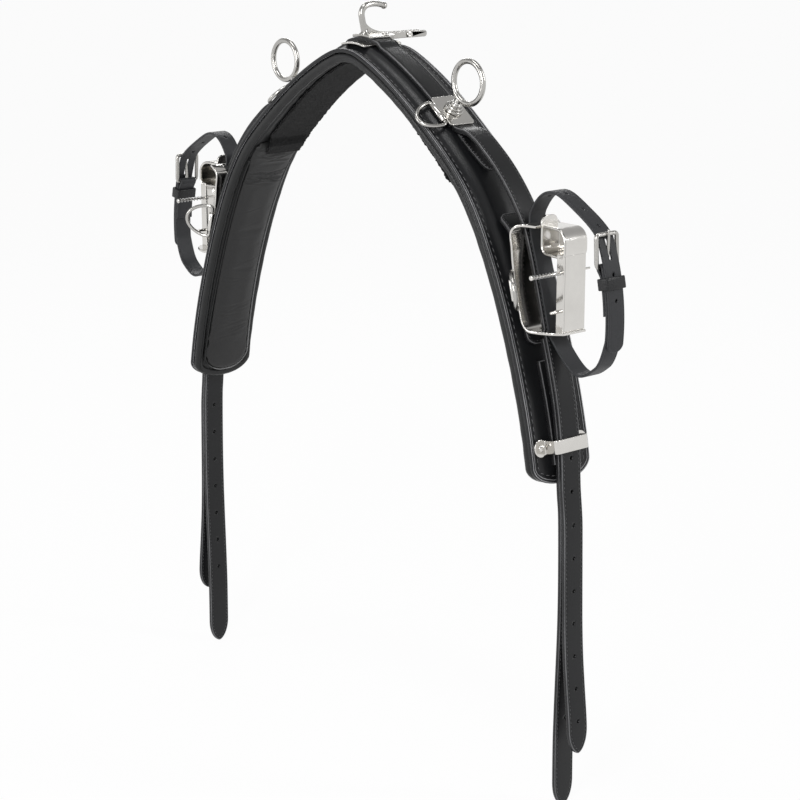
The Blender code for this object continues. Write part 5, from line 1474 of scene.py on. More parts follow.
strapLook = {
    "thickness": strapSize["thickness"], "edge": 0.0011, "step": 0.0035,
    "rows": (1.9, 2.3, 2.65, 3.0, 3.5, 4.2),
    "height": -0.0001, "endDepth": 0.026, "crown": 0.00025, "inset": 0.0029, "insetHalf": 0.0008,
    "insetDepth": 0.00022, "thread": 0.00033, "pitch": 0.0042, "fill": 0.66,
    "hole": 0.002, "pitchHoles": 0.0325, "firstHole": 0.0151, "bendHalf": 0.012,
    "outer": {
        "height": -0.002, "length": 0.242, "sway": 0.015, "holes": range(-2, 7), "seamStart": 0.0029,
        "shares": ((0.07, 0.10), (0.215, 0.17), (0.35, 0.23), (0.48, 0.30), (0.61, 0.43), (0.74, 0.64),
                   (0.87, 0.87), (1, 1)),
    },
    "inner": {
        "height": -0.0063, "length": 0.302, "sway": 0.0022, "holes": range(0, 7), "seamStart": 0.002,
        "shares": ((0.05, 0.35), (0.155, 0.75), (0.26, 1), (0.37, 1), (0.47, 0.7), (0.58, 0.25),
                   (0.68, -0.1), (0.8, -0.3), (1, 0.1)),
    },
}


def tipHalf(along, end, half, tip):
    share = np.clip((end - along) / tip, 0, 1)
    return half * np.clip(1 - (1 - share) ** 2.2, 0, None) ** 0.6


# The middle of a strap from a place on the side strap, over the hinge, to its hanging tip
def hangLine(first, layer):
    line = sideStrapLine
    keys = [line.offset(along, layer["height"]) for along in np.arange(first, line.length - 0.004, 0.006)]
    axis = line.offset(line.length, layer["height"])
    keys.append(axis)
    for share, amount in layer["shares"]:
        keys.append(axis + np.array((layer["sway"] * amount, -layer["length"] * share)))
    return BendLine(smoothPoints(keys, 6)), axis


# One layer of the side strap with the billet that hangs from it, as one piece
def makeHangingStrap(name, nodes, body, first, layer):
    look = strapLook
    line, axis = hangLine(first, layer)
    hinge = line.nearest(axis)
    half = strapSize["width"] / 2
    end = line.length
    tip = look["endDepth"]
    inset = look["inset"]
    place = linePlace(line)

    def edges(along):
        width = tipHalf(along, end, half, tip)
        return -width, width

    def relief(gap, along, across):
        crown = look["crown"] * (1 - np.clip(np.abs(across) / half, 0, 1) ** 2)
        return crown + groove(gap, inset, look["insetHalf"], look["insetDepth"])

    work = Work()
    strip(work, place, 0, end, edges, look, relief=relief, underRelief=relief)
    strap = merge(work.make(name + "_leather", [looks["strap"]]))
    marks = [(hinge + look["firstHole"] + look["pitchHoles"] * index, 0.0) for index in layer["holes"]]
    punch(strap, place, marks, look["hole"], 0.006)
    shifts = (-look["bendHalf"], look["bendHalf"])
    bend = [place(np.array(hinge + shift), np.array(0.0), np.array(0.0)) for shift in shifts]
    settle(strap, body, nodes, bend)
    seams = Work()
    alongs = np.concatenate((np.arange(layer["seamStart"], end - tip, 0.004),
                             end - tip + (tip - inset) * np.sin(np.linspace(0, pi / 2, 16))))
    ahead = inset * np.clip((alongs - end + tip) / tip, 0, 1)
    width = np.maximum(tipHalf(alongs + ahead, end, half, tip) - inset, 0)
    path = np.vstack((np.stack((alongs, -width), -1), np.stack((alongs, width), -1)[::-1]))
    for out, sign in ((look["thickness"] / 2 - 0.00005, 1), (look["thickness"] / 2 + 0.0001, -1)):
        stitches(seams, path, lambda a, c, o, sign=sign: place(a, c, np.asarray(o) * sign), out, look)
    settle(seams.make(name + "_stitching", [looks["thread"]]), body, (), bend)


def makeStraps():
    makeHangingStrap("left_outer_strap", ["left_side_strap", "left_short_billet"], "left_short_billet",
                     0.001, strapLook["outer"])
    point = archLine.offset(places["underStrap"], bowHeight(places["underStrap"]))
    makeHangingStrap("left_inner_strap", ["left_under_strap", "left_long_billet"], "left_long_billet",
                     sideStrapLine.nearest(point), strapLook["inner"])


tuckLook = {
    "start": 0.157, "end": 0.206, "half": 0.011, "point": 0.012, "rise": 0.0057, "thickness": 0.0025,
    "edge": 0.0006, "step": 0.002, "height": heights["strapBase"] + 0.00125,
    "seam": 0.0022, "thread": 0.0004, "pitch": 0.0034, "fill": 0.62, "lean": 0.5,
}


# The curved tab of leather tucked under the bow, closely stitched round its edge
def makeTuck():
    look = tuckLook
    start = look["start"]
    end = look["end"]
    half = look["half"]
    shoulder = end - look["point"]

    def edges(along):
        turn = np.clip((end - along) / look["point"], 0, 1)
        bow = np.sqrt(np.clip(1 - (1 - turn) ** 2, 0, 1))
        low = np.interp(along, (start, shoulder, end), (-half, -half, -half)) + (1 - bow) * half * 0.5
        high = np.interp(along, (start, shoulder, end), (half, 0.6 * half, 0.35 * half))
        return low, high - (1 - bow) * half * 0.6

    def lift(along, across):
        share = (along - start) / (end - start)
        return look["rise"] * share ** 2

    def seamHeight(along, across):
        return look["height"] + look["thickness"] / 2 + lift(along, across)

    work = Work()
    strip(work, archPlace, start, end, edges, look, endDepth=look["point"], lift=lift)
    dress(work, "left_strap_tuck", "leather", "strap")
    seam = Work()
    alongs = np.concatenate((np.linspace(start + 0.002, shoulder, 20),
                             np.linspace(shoulder, end - 0.002, 14)[1:]))
    low, high = edges(alongs)
    loop = outlineOf(alongs, low + look["seam"], high - look["seam"])
    stitches(seam, loop[:-1], archPlace, seamHeight, look)
    settle(seam.make("left_strap_tuck_stitching", [looks["paleThread"]]), "saddle")


strapSafeLook = {"start": 0.388, "end": 0.486, "half": 0.013, "thickness": 0.0045, "edge": 0.001}


# The leather under the straps at the metal keeper
def makeStrapSafe():
    look = strapSafeLook
    work = Work()
    strip(work, archPlace, look["start"], look["end"], strapEdges(look["start"], look["end"], look["half"]),
          look, height=touchGap + look["thickness"] / 2)
    dress(work, "left_strap_safe", "leather", "strap")


safeLook = {
    "half": 0.019, "middle": -0.002, "depth": 0.008, "thickness": 0.004, "height": -0.0021, "edge": 0.0012,
    "across": 14, "rows": (1.7, 2.1, 2.5, 3, 3.6), "taper": 0.42, "long": 0.0969, "wide": 0.0578,
    "seam": 0.003, "seamHalf": 0.0009, "seamDepth": 0.0003, "thread": 0.0003, "pitch": 0.0036, "fill": 0.66,
    "line": ((-0.614, -0.3131), (-0.4800, -0.223), (-0.3258, -0.168), (-0.1864, -0.1861),
             (-0.068, -0.2386), (0.1873, -0.2932), (0.427, -0.2949), (0.5755, -0.2899),
             (0.7466, -0.2387)),
}


# The wide curved leather behind the coupler, stitched round its edge
def makeCouplerSafe():
    look = safeLook
    middle = sideStrapLine.nearest(couplerOrigin)
    line = BendLine(smoothPoints([
        sideStrapLine.offset(middle + along * look["long"], out * look["wide"])
        for along, out in look["line"]], 10))
    place = linePlace(line)
    end = line.length

    def edges(along):
        width = np.full(np.shape(along), look["half"])
        for room in (along, end - along):
            turn = np.clip(1 - room / look["depth"], 0, 1)
            width = np.minimum(width, look["half"] * (1 - look["taper"] * turn ** 2.4))
        return look["middle"] - width, look["middle"] + width

    def relief(gap, along, across):
        return groove(gap, look["seam"], look["seamHalf"], look["seamDepth"])

    def insidePlace(along, across, out):
        return place(along, across, -np.asarray(out))

    work = Work()
    strip(work, place, 0, end, edges, look, relief=relief)
    dress(work, "left_coupler_safe", "leather", "strap")
    seam = Work()
    alongs = np.linspace(look["seam"], end - look["seam"], 60)
    low, high = edges(alongs)
    path = outlineOf(alongs, low + look["seam"], high - look["seam"])
    stitches(seam, path, place, look["height"] + look["thickness"] / 2 - 0.0001, look)
    stitches(seam, path, insidePlace, -look["height"] + look["thickness"] / 2, look)
    settle(seam.make("left_coupler_safe_stitching", [looks["thread"]]), "saddle")


# The wrap strap and its buckle

wrapLook = {
    "width": 0.020, "thickness": 0.0025, "edge": 0.0008, "across": 7, "rows": (1.6, 2.2, 2.7, 3.1, 3.8),
    "endDepth": 0.008, "crease": 0.0022, "creaseHalf": 0.0005, "creaseDepth": 0.00014,
    "size": 0.100, "radius": 0.200, "centre": couplerOrigin + np.array((0.0961 - 0.200, -0.0444)),
    "bottom": ((0.84, -0.78), (0.70, -0.95), (0.594, -0.999), (0.50, -0.955), (0.41, -0.87),
               (0.315, -0.775), (0.235, -0.695)),
    "inner": ((0.30, -0.63), (-0.10, 0.24)),
    "top": ((-0.086, 0.436), (-0.026, 0.576), (0.064, 0.671), (0.204, 0.721), (0.34, 0.655),
            (0.459, 0.586), (0.609, 0.501), (0.704, 0.436)),
    "chapeEnd": 0.01047, "chapeLift": 0.04677, "bar": 0.05568, "barTop": 0.08482, "underEnd": -0.01326,
    "tailStart": 0.08203, "tailEnd": -0.02374, "slot": 0.07156, "slotHalf": 0.01025, "slotWide": 0.0021,
    "foldSlot": 0.009, "hole": 0.0018, "pitchHoles": 0.0235, "holes": (-4, -3, -2, -1, 1, 2),
    "tailCut": 0.0025, "foldCut": 0.0014,  # half the depth of the cutters there
    "barRadius": 0.0015, "barGap": 0.0003, "wireExtra": 0.0006, "thinLength": 0.001, "thinFade": 0.004,
    "buckleWidth": 0.026, "corner": 0.003,
    "tongueStart": 0.0024, "tongueTop": 0.0018, "tongueReach": 0.003, "tongueBow": 0.0002,
    "tongue": 0.0017, "taper": 0.22, "tipStart": 0.93, "tip": 0.8,
    "tongueEye": (0.0031, 0.0018), "tongueEyeHalf": 0.0015,
    "keeper": 0.04049, "keeperHalf": 0.0056, "keeperWall": 0.0016, "keeperRoom": 0.0007,
    "keeperCorners": (0.0016, 0.0005), "innerShare": 0.4,
    "keeperEdge": ((-1, 0.0005), (-0.93, 0.0001), (-0.8, 0), (-0.4, 0), (0, 0), (0.4, 0), (0.8, 0),
                   (0.93, 0.0001), (1, 0.0005)),
}
tailRadius = wrapLook["radius"] - wrapLook["thickness"] / 2
underRadius = tailRadius - wrapLook["thickness"] - touchGap
chapeRadius = underRadius - wrapLook["thickness"] - touchGap
foldRadius = wrapLook["barRadius"] + wrapLook["barGap"] + wrapLook["thickness"] / 2


def wrapPoint(radius, run):
    angle = run / wrapLook["radius"]
    return wrapLook["centre"] + np.array((cos(angle), sin(angle))) * radius


def wrapArc(radius, start, end, steps):
    ring = wrapLook["radius"]
    return arcPoints(wrapLook["centre"], radius, wrapLook[start] / ring, wrapLook[end] / ring, steps)


def couplerPoint(shareX, shareZ):
    return couplerOrigin + np.array((shareX * safeLook["wide"], shareZ * safeLook["long"]))


# A run of points evened out by averaging; a few at each end stay where they are
def relaxed(points, rounds):
    path = np.array(points)
    for _ in range(rounds):
        path[11:-6] += (path[10:-7] + path[12:-5] - 2 * path[11:-6]) * 0.25
    return list(path)


# The middle of the wrap strap, from its sewn-back end round the loop to its tail
def makeWrapLine():
    look = wrapLook
    bar = wrapPoint(underRadius - foldRadius, look["bar"])
    barAngle = look["bar"] / look["radius"]
    points = wrapArc(chapeRadius, "chapeEnd", "chapeLift", 10)
    points += arcPoints(bar, foldRadius, barAngle + pi, barAngle, 14)
    points += wrapArc(underRadius, "bar", "underEnd", 20)[1:]
    bottom = [couplerOrigin + np.array(share) * look["size"] for share in look["bottom"]]
    top = [couplerOrigin + np.array(share) * look["size"] for share in look["top"]]
    first, last = (sideStrapLine.nearest(couplerPoint(*share)) for share in look["inner"])
    height = touchGap + look["thickness"] / 2
    inner = [sideStrapLine.offset(along, height) for along in np.linspace(first, last, 30)]
    tail = wrapArc(tailRadius, "tailStart", "tailEnd", 40)
    points += relaxed(smoothPoints([points[-1], *bottom, inner[0]], 8), 150)[1:] + inner[1:]
    points += relaxed(smoothPoints([inner[-1], *top, tail[0]], 8), 60)[1:] + tail[1:]
    return BendLine(points)


wrapLine = makeWrapLine()


# The strap that holds the shaft down: two layers behind the buckle, and a punched tail
def makeWrap():
    look = wrapLook
    line = wrapLine
    place = linePlace(line)
    half = look["width"] / 2
    end = line.length

    def edges(along):
        width = endHalf(along, 0, end, half, 0, look["endDepth"])
        return -width, width

    def relief(gap, along, across):
        return groove(gap, look["crease"], look["creaseHalf"], look["creaseDepth"])

    work = Work()
    strip(work, place, 0, end, edges, look, relief=relief)
    strap = merge(work.make("left_wrap_strap_leather", [looks["wrap"]]))
    tailStart = end - tailRadius * (look["tailStart"] - look["tailEnd"]) / look["radius"]
    slot = tailStart + (look["tailStart"] - look["slot"]) / look["radius"] * tailRadius
    marks = [(slot + index * look["pitchHoles"], 0.0) for index in look["holes"]]
    punch(strap, place, marks, look["hole"], look["tailCut"])
    bar = wrapPoint(underRadius - foldRadius, look["bar"])
    angle = look["bar"] / look["radius"]
    top = bar + np.array((-sin(angle), cos(angle))) * foldRadius
    samples = np.linspace(0, tailStart / 4, 400)
    fold = samples[np.hypot(*(line.at(samples)[0] - top).T).argmin()]
    for middle, reach, depth in ((slot, look["slotHalf"], look["tailCut"]),
                                 (fold, look["foldSlot"], look["foldCut"])):
        slotCut(strap, place, middle - reach, middle + reach, look["slotWide"], depth)
    settle(strap, "saddle", ["left_wrap_strap"])
    makeBuckle(bar)
    makeWrapKeeper()


# The buckle, thinner where the strap folds round its bar, and its tongue
def makeBuckle(bar):
    look = wrapLook
    rise = wrapPoint(look["radius"] + look["barGap"] + look["barRadius"], look["barTop"]) - bar
    length = np.hypot(*rise)
    unit = rise / length
    wide = look["buckleWidth"] / 2
    dense = denseLoop(boxLoop(0, length, -wide, wide, (look["corner"],) * 4, 8), 0.0012)
    frameLoop = [(*(bar + unit * along)[:1], across, (bar + unit * along)[1]) for along, across in dense]
    share = (np.array([along for along, across in dense]) - look["thinLength"]) / look["thinFade"]
    buckle = Work()
    tube(buckle, frameLoop, look["barRadius"] + look["wireExtra"] * smoothStep(share), 22, cyclic=True)
    dress(buckle, "left_wrap_buckle", "wire", "plated")

    direction = wrapPoint(look["radius"] + look["tongueTop"] + 2 * look["barRadius"], look["barTop"]) - bar
    reach = np.hypot(*direction) + look["tongueReach"]
    direction = direction / np.hypot(*direction)
    normal = np.array((direction[1], -direction[0]))
    prong = []
    widths = []
    for share in np.linspace(0, 1, 24):
        along = look["tongueStart"] + (reach - look["tongueStart"]) * share
        flat = bar + direction * along + normal * look["tongueBow"] * sin(pi * share)
        prong.append((flat[0], 0, flat[1]))
        wide = look["tongue"] * (1 - look["taper"] * share ** 2)
        widths.append(wide * (1 if share < look["tipStart"] else look["tip"]))
    tongue = Work()
    tube(tongue, prong, widths, 20)
    eye = look["tongueEyeHalf"]
    sleeve(tongue, (bar[0], -eye, bar[1]), (bar[0], eye, bar[1]), *look["tongueEye"], 28)
    dress(tongue, "left_buckle_tongue", "wire", "plated", "left_buckle_tongue")


# The leather loop that slides along the wrap strap
def makeWrapKeeper():
    look = wrapLook
    wall = look["keeperWall"]
    low = chapeRadius - look["thickness"] / 2 - look["keeperRoom"]
    high = look["radius"] + look["keeperRoom"]
    half = look["width"] / 2 + look["keeperRoom"]
    outerCorner, innerCorner = look["keeperCorners"]
    outer = boxLoop(low - wall, high + wall, -half - wall, half + wall, (outerCorner,) * 4, 5)
    inner = boxLoop(low, high, -half, half, (innerCorner,) * 4, 5)
    middle = (low + high) / 2
    rings = [(share, -inset, outer) for share, inset in look["keeperEdge"]]
    rings += [(share, inset * look["innerShare"], inner) for share, inset in reversed(look["keeperEdge"])]
    points = []
    for share, grow, loop in rings:
        for radius, across in loop:
            grown = radius + np.sign(radius - middle) * grow
            flat = wrapPoint(grown, look["keeper"] + share * look["keeperHalf"])
            points.append((flat[0], across + np.sign(across) * grow, flat[1]))
    work = Work()
    work.add(points, gridFaces(len(rings), len(outer), closedRows=True, closedColumns=True))
    dress(work, "left_wrap_keeper", "leather", "strap", "left_wrap_keeper")


# The metal strap keeper

keeperLook = {
    "thickness": 0.0024, "half": 0.0065, "leg": 0.0195, "foot": 0.0085, "reach": 0.0255, "bend": 0.002,
    "rise": 0.0012, "depth": 0.0085, "edge": 0.0006, "step": 0.0012,
    "rivet": 0.0034, "rivetHeight": 0.0016, "shank": 0.0016, "shankLow": -0.0027,
}


# The metal loop over the straps, with domed rivets through its round feet
def makeStrapKeeper():
    look = keeperLook
    turn = archFrame(places["keeper"])
    middle = touchGap + look["thickness"] / 2
    bar = bowHeight(places["keeper"]) + look["rise"] + look["thickness"] / 2
    bend = look["bend"]
    leg = look["leg"]
    turns = np.linspace(0, pi / 2, 7)
    path = [(-look["reach"] - look["foot"], middle)]
    path += [(-leg - bend + bend * sin(a), middle + bend * (1 - cos(a))) for a in turns]
    path += [(-leg + bend * (1 - cos(a)), bar - bend + bend * sin(a)) for a in turns]
    path += [(-y, h) for y, h in reversed(path)]
    line = BendLine(path)
    radius = look["foot"]
    end = line.length

    def edges(along):
        near = np.minimum(along, end - along)
        lobe = np.sqrt(np.clip(radius ** 2 - (near - radius) ** 2, 0, None))
        width = np.where(near < radius, lobe, np.maximum(lobe, look["half"]))
        return -width, width

    def place(along, across, out):
        flat = line.offset(along, out)
        local = np.stack((np.broadcast_to(across, flat[..., 0].shape), flat[..., 0], flat[..., 1]), -1)
        rows = np.array(turn)
        return local @ rows[:3, :3].T + rows[:3, 3]

    work = Work()
    strip(work, place, 0, end, edges, look)
    dress(work, "left_strap_keeper", "metal", "steel", weld=True)
    base = touchGap + look["thickness"] + 0.0002
    profile = [(look["rivet"] * sin(a), base + look["rivetHeight"] * cos(a))
               for a in np.linspace(0, pi / 2, 12)]
    profile += [(look["rivet"] * 0.94, base - 0.0002), (look["shank"], base - 0.0002),
                (look["shank"], look["shankLow"]), (0, look["shankLow"])]
    for side, node in ((-1, "left_keeper_rivet_front"), (1, "left_keeper_rivet_rear")):
        rivet = Work()
        lathe(rivet, profile, turn @ Matrix.Translation((0, side * look["reach"], 0)), 36)
        dress(rivet, node, "metal", "steel")


# The quick-hitch coupler

couplerLook = {
    "thickness": 0.0025, "edge": 0.0006, "step": 0.0016, "across": 12, "rows": (2, 4),
    "front": 0.028, "rear": 0.020, "rearInset": 0.004, "slotHalf": 0.0135, "slotCorner": 0.0015,
    "slotRoom": 0.0012,
    "line": ((0.120, 0.376), (-0.031, 0.390), (-0.150, 0.372), (-0.258, 0.305), (-0.228, 0.165),
             (-0.202, 0.027), (-0.131, -0.221), (-0.024, -0.448), (0.045, -0.555), (0.170, -0.606),
             (0.38, -0.606), (0.59, -0.606), (0.72, -0.606)),
    "frontShares": (0.60, 0.94, 1, 1, 1, 1, 1, 1, 1, 1, 0.95, 0.72, 0.45),
    "face": 0.0394, "channelDepth": 0.010, "skin": 0.002, "channelFront": 0.011, "channelRear": 0.017,
    "socketWidth": 0.037, "socketHeight": 0.028, "wall": 0.0025, "rise": 0.0236, "middle": 0.0219,
    "corners": (0.009, 0.008, 0.013, 0.003), "slant": 0.005, "backHole": 0.004,
    "lugHeight": 0.009, "lugLength": 0.021, "lugSheet": 0.0022, "lugShift": 0.003, "lugRound": 0.0072,
    "knuckle": 0.0034, "bore": 0.0022, "knuckleLength": 0.020, "knuckleDrop": 0.0224,
    "knuckleShift": -0.00685, "knuckleFront": 0.0305, "lean": radians(14),
    "pinInset": 0.005, "pinDrop": 0.003, "stopDrop": 0.039,
    "socketBevel": 0.0006, "rimExtra": 0.0001, "channelBevel": 0.0004, "channelCorner": 0.0008,
    "outerStraps": (-0.0052, -0.00245),  # how deep the side strap and the wrap strap pass it
    "slotDepth": 0.006,
}


# Distance along a line, between two marks, where another line's offset crosses it
def crossing(line, other, height, low, high):
    marks = np.linspace(low, high, 500)
    points = line.at(marks)[0]
    others = other.offset(np.linspace(0, other.length, 2500), height)
    gaps = ((points[:, None] - others[None]) ** 2).sum(2).min(1)
    return marks[gaps.argmin()]


# The bent sheet of the coupler, with slots where the straps pass through it
def makeCouplerSheet():
    look = couplerLook
    line = BendLine(smoothPoints([couplerPoint(*share) for share in look["line"]], 10))
    marks = [line.distances[index * 10] for index in range(len(look["line"]))]

    def edges(along):
        front = -look["front"] * np.interp(along, marks, look["frontShares"])
        room = np.minimum(along / marks[1], (line.length - along) / (line.length - marks[-3]))
        rear = look["rear"] - look["rearInset"] * (1 - smoothStep(room))
        return front, rear

    work = Work()
    strip(work, linePlace(line), 0, line.length, edges, look)
    sheet = work.make("left_coupler_metal", [looks["steel"]])
    half = line.length / 2
    for low, high in ((0, half), (half, line.length)):
        cuts = sorted(crossing(line, other, height, low, high)
                      for other, height in zip((sideStrapLine, wrapLine), look["outerStraps"]))
        slotCut(sheet, linePlace(line), cuts[0] - look["slotRoom"], cuts[1] + look["slotRoom"],
                look["slotHalf"], look["slotDepth"], look["slotCorner"], 5)
    return sheet


# The socket for the shaft's end: slanted at the front, closed behind, with a rolled rim
def makeSocket(left, right, low, high):
    look = couplerLook
    wall = look["wall"]
    rear = look["channelRear"]

    def boxInside(inset, least):
        corners = [max(radius - inset, least) for radius in look["corners"]]
        return boxLoop(left + inset, right - inset, low + inset, high - inset, corners, 12)

    def mouth(x):
        return -look["channelFront"] + look["slant"] * (right - x) / look["socketWidth"]

    socket = plate("socket", boxInside(0, 0), 0.034, planeXz(0))
    for vertex in socket.data.vertices:
        vertex.co.y = mouth(vertex.co.x) if vertex.co.y < 0 else rear
    cavity = plate("cavity", boxInside(wall, 0.0008), 0.4, planeXz(0))
    for vertex in cavity.data.vertices:
        vertex.co.y = rear - wall if vertex.co.y > 0 else -0.05
    middle = circleLoop((left + right) / 2, (low + high) / 2, look["backHole"], 40)
    combine(socket, [cavity, plate("hole", middle, 0.02, planeXz(rear))], "DIFFERENCE")
    bevelled(socket, look["socketBevel"])
    rim = Work()
    path = [(x, mouth(x) + 0.0002, z) for x, z in denseLoop(boxInside(wall / 2, 0.0012), 0.002)]
    tube(rim, path, wall / 2 + look["rimExtra"], 20, cyclic=True)
    return [socket, rim.make("rim", [])]


# Sheet frame, socket, channel plate, lug and knuckle, welded together
def makeCoupler():
    look = couplerLook
    sheet = makeCouplerSheet()
    centre = couplerOrigin + np.array((look["middle"], look["rise"]))
    left = centre[0] - look["socketWidth"] / 2
    right = centre[0] + look["socketWidth"] / 2
    low = centre[1] - look["socketHeight"] / 2
    high = centre[1] + look["socketHeight"] / 2
    wall = look["wall"]
    parts = makeSocket(left, right, low, high)

    rear = look["channelRear"]
    front = look["channelFront"]
    skin = look["skin"]
    face = couplerOrigin[0] + look["face"]
    inside = face - look["channelDepth"]
    bottom = couplerPoint(0, look["line"][-1][1])[1]
    top = low + wall * 1.6
    cut = look["channelCorner"]
    channel = [
        (inside, -front), (face - cut, -front), (face, -front + cut), (face, rear - cut),
        (face - cut, rear), (inside, rear), (inside, rear - skin), (face - skin, rear - skin),
        (face - skin, skin - front), (inside, skin - front)]
    turn = Matrix.Translation((0, 0, (top + bottom) / 2))
    parts.append(bevelled(plate("channel", channel, top - bottom, turn), look["channelBevel"]))
    lugHalf = look["lugLength"] / 2
    lug = boxLoop(-lugHalf, lugHalf, high - wall / 2, high + look["lugHeight"],
                  (0, 0, look["lugRound"], look["lugRound"]), 12)
    lugPlane = planeYz(left + look["lugShift"] + look["lugSheet"] / 2)
    parts.append(bevelled(plate("lug", lug, look["lugSheet"], lugPlane), look["socketBevel"]))
    spotX, spotZ = couplerOrigin + np.array((look["knuckleShift"], -look["knuckleDrop"]))
    axis = Vector((spotX, -look["knuckleFront"], spotZ))
    down = Vector((sin(look["lean"]), 0, -cos(look["lean"])))
    reach = down * look["knuckleLength"] / 2
    knuckle = Work()
    sleeve(knuckle, axis - reach, axis + reach, look["knuckle"], look["bore"])
    parts.append(knuckle.make("knuckle", []))
    for part in parts:
        if not part.data.materials:
            part.data.materials.append(looks["steel"])
        if not part.data.uv_layers:
            part.data.uv_layers.new(name="lay")
    body = joinPieces("left_coupler_metal", [sheet, *parts])
    settle(body, "saddle", ["left_coupler_body"])

    size = deeLook["coupler"]
    side = Vector((cos(look["lean"]), 0, sin(look["lean"])))
    ahead = side * cos(size["tilt"]) + Vector((0, -1, 0)) * sin(size["tilt"])
    dee = Work()
    tube(dee, [axis + down * a + ahead * out for a, out in deePath(size)], deeLook["wire"], 24, cyclic=True)
    dress(dee, "left_coupler_dee", "wire", "plated", "left_coupler_dee")
    makeLatch(face - skin - look["pinInset"], couplerOrigin[1])


latchLook = {
    "pin": 0.0011, "head": 0.0024, "headLength": 0.002, "front": 0.047, "rear": 0.029,
    "spring": 0.0019, "wire": 0.0007, "turns": 8, "perTurn": 26,
    "stop": 0.0016, "stopFront": 0.021, "stopHead": 0.0027, "stopHeadLength": 0.0018,
}


# The spring catch: a turned pin through both flanges, its coil spring and the stop pin below
def makeLatch(x, height):
    look = latchLook
    z = height - couplerLook["pinDrop"]
    stopZ = height - couplerLook["stopDrop"]
    collar = couplerLook["channelFront"] - couplerLook["skin"] - touchGap
    forward = Matrix.Rotation(pi / 2, 4, "X")
    front = look["front"]
    rear = look["rear"]
    pin = look["pin"]
    head = look["head"]
    length = look["headLength"]
    profile = [
        (0, front), (head * 0.8, front), (head, front - 0.0006), (head, front - length + 0.0003),
        (head * 0.85, front - length), (pin, front - length), (pin, collar), (head, collar),
        (head, collar - length), (pin, collar - length), (pin, -rear + 0.0004), (pin * 0.6, -rear),
        (0, -rear)]
    work = Work()
    lathe(work, roundProfile(profile, 0.0003, 3), Matrix.Translation((x, 0, z)) @ forward, 32)
    dress(work, "left_latch_pin", "metal", "steel", "left_latch_pin")
    start = -front + length + touchGap + look["wire"] / 2
    end = -couplerLook["channelFront"] - touchGap - look["wire"] / 2
    steps = np.linspace(0, 1, look["turns"] * look["perTurn"] + 1)
    angles = 2 * pi * look["turns"] * steps
    coil = np.stack((x + look["spring"] * np.cos(angles), start + (end - start) * steps,
                     z + look["spring"] * np.sin(angles)), -1)
    spring = Work()
    tube(spring, coil, look["wire"] / 2, 12)
    settle(spring.make("left_latch_spring_wire", [looks["spring"]]), "left_latch_pin",
           ["left_latch_spring"], [(x, end, z), (x, start, z)])
    pin = look["stop"]
    front = look["stopFront"]
    head = look["stopHead"]
    low = collar - look["stopHeadLength"]
    profile = [(0, front), (0.001, front), (pin, front - 0.0008), (pin, collar), (head, collar), (head, low),
               (0, low)]
    stop = Work()
    lathe(stop, roundProfile(profile, 0.0003, 3), Matrix.Translation((x, 0, stopZ)) @ forward, 32)
    dress(stop, "left_stop_pin", "metal", "steel")


# The tree and the terret nuts are hidden: they keep their own shapes and get a worked finish
def dressHidden():
    for node, look in (
            ("saddle_tree", "spring"), ("left_terret_nut", "steel"), ("right_terret_nut", "steel")):
        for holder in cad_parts[node].material_slots:
            holder.material = looks[look]


# Floor, light and camera

stageLook = {
    "floor": 0.9, "floorGlow": 0.95, "floorHalf": 14, "floorGap": 0.0004, "light": 0.6,
    "lit": ((0.0, 0.95), (0.25, 0.8), (0.5, 0.48), (1.0, 0.42)),  # greys by height, on the object
    "seen": ((0.0, 0.97), (0.2, 0.95), (0.42, 0.55), (1.0, 0.4)),  # the same, as the camera sees them
    "lamps": (
        ("key_lamp", (1.1, -1.75, 0.75), 0.4, 1.5, 22),
        ("side_lamp", (1.7, 1.2, 1.0), 0.3, 1.3, 15),
        ("top_lamp", (0.0, -0.5, 2.2), 1.4, 0.3, 14),
        ("rear_lamp", (-1.6, 1.2, 1.0), 1.2, 0.3, 10),
        ("front_lamp", (-1.0, -2.0, 0.2), 0.3, 1.2, 9),
    ),
    "aim": (0, 0, -0.25),
}


# A plain pale floor that keeps the shadow
def makeFloor():
    look = stageLook
    grey = look["floor"]
    shade = Shade(bpy.data.materials.new("pale_floor"), "Principled BSDF")
    shade.set(Base_Color=(grey, grey, grey, 1), Roughness=0.9, Specular_IOR_Level=0.0)
    glow = shade.node("ShaderNodeEmission", {"Color": (1, 1, 1, 1), "Strength": 1.0})
    share = shade.math("MULTIPLY", shade.seen(), look["floorGlow"])
    shade.mixOut(share, shade.shader, glow, "Material Output")
    z = cadBounds[0][2] - look["floorGap"]
    half = look["floorHalf"]
    mesh = bpy.data.meshes.new("studio_floor")
    corners = [(-half, -half, z), (half, -half, z), (half, half, z), (-half, half, z)]
    mesh.from_pydata(corners, [], [(0, 1, 2, 3)])
    mesh.materials.append(shade.owner)
    linked(bpy.data.objects.new("studio_floor", mesh))


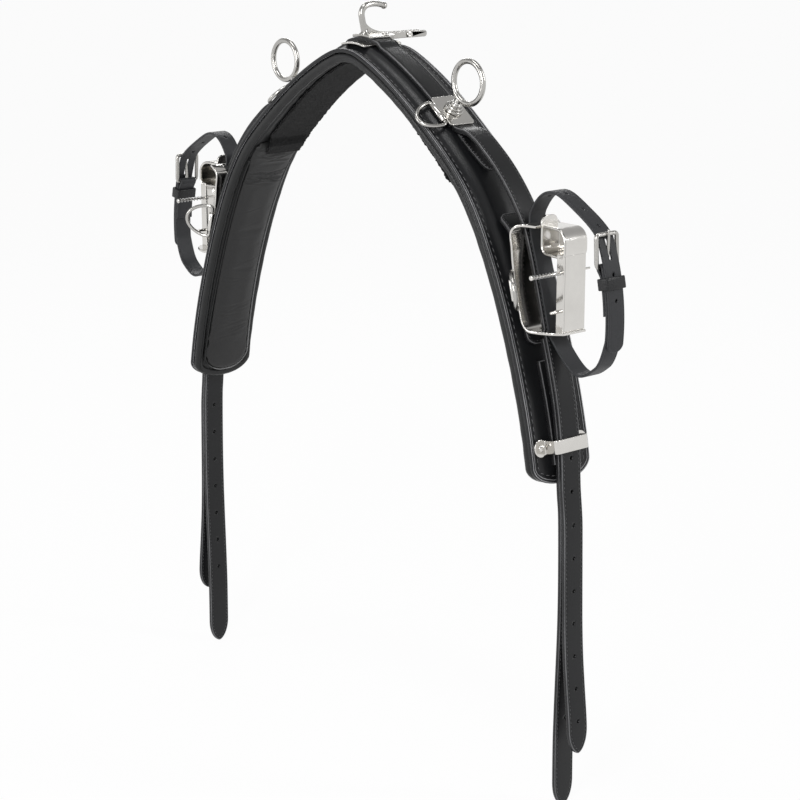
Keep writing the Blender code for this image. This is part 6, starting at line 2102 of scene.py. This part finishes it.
# The surround lights the object in greys, and is paler where the camera or a reflection sees it
def makeSurround():
    look = stageLook
    shade = Shade(bpy.data.worlds.new("studio"), "Background")
    bpy.context.scene.world = shade.owner
    shade.set(Strength=look["light"])
    bright = shade.node("ShaderNodeBackground", {"Strength": 1.0})
    height = shade.node("ShaderNodeSeparateXYZ", {"Vector": shade.places["Generated"]}).outputs["Z"]
    for greys, target in ((look["lit"], shade.shader), (look["seen"], bright)):
        ramp = shade.node("ShaderNodeValToRGB", {"Fac": height})
        marks = ramp.color_ramp.elements
        for stop, grey in greys:
            mark = marks.new(stop) if 0 < stop < 1 else marks[0 if stop == 0 else -1]
            mark.position = stop
            mark.color = (grey, grey, grey, 1)
        shade.put(target.inputs["Color"], ramp.outputs["Color"])
    shade.mixOut(shade.seen(), shade.shader, bright, "World Output")


def makeLamps():
    for name, place, width, height, power in stageLook["lamps"]:
        light = bpy.data.lights.new(name, "AREA")
        light.shape = "RECTANGLE"
        light.size = width
        light.size_y = height
        light.energy = power
        lamp = linked(bpy.data.objects.new(name, light))
        lamp.location = place
        aim = Vector(stageLook["aim"]) - Vector(place)
        lamp.rotation_euler = aim.to_track_quat("-Z", "Y").to_euler()


cameraLook = {
    "place": (1.59041, -1.32209, 0.20469), "lens": 93.082, "sensor": 36,
    "right": (0.6494480, 0.7604060, 0), "up": (-0.1957300, 0.1671692, 0.9663044),
    "back": (0.7347836, -0.6275645, 0.2574020),
}


# The photograph's place and direction
def makeCamera():
    look = cameraLook
    data = bpy.data.cameras.new("camera")
    data.sensor_width = look["sensor"]
    data.lens = look["lens"]
    data.clip_end = 60
    camera = linked(bpy.data.objects.new("camera", data))
    turn = Matrix((look["right"], look["up"], look["back"])).transposed().to_4x4()
    camera.matrix_world = Matrix.Translation(look["place"]) @ turn
    bpy.context.scene.camera = camera
    bpy.context.scene.view_settings.view_transform = "Standard"


for stage, steps in (
        ("camera and stage", (makeCamera, makeFloor, makeSurround, makeLamps)),
        ("skirt, panel and lining", (makeSkirt, makePanel, makeLining)),
        ("cushions", (makeCushion,)),
        ("hook and fork", (makeRidgeStrap, makeCrownPlate, makeCheckHook, makeScrews)),
        ("terrets", (makeTerret,)),
        ("straps and billets", (makeStraps, makeTuck, makeStrapSafe, makeCouplerSafe)),
        ("wrap straps and keepers", (makeWrap, makeStrapKeeper)),
        ("couplers", (makeCoupler, dressHidden))):
    for step in steps:
        step()
    print(stage, "made")
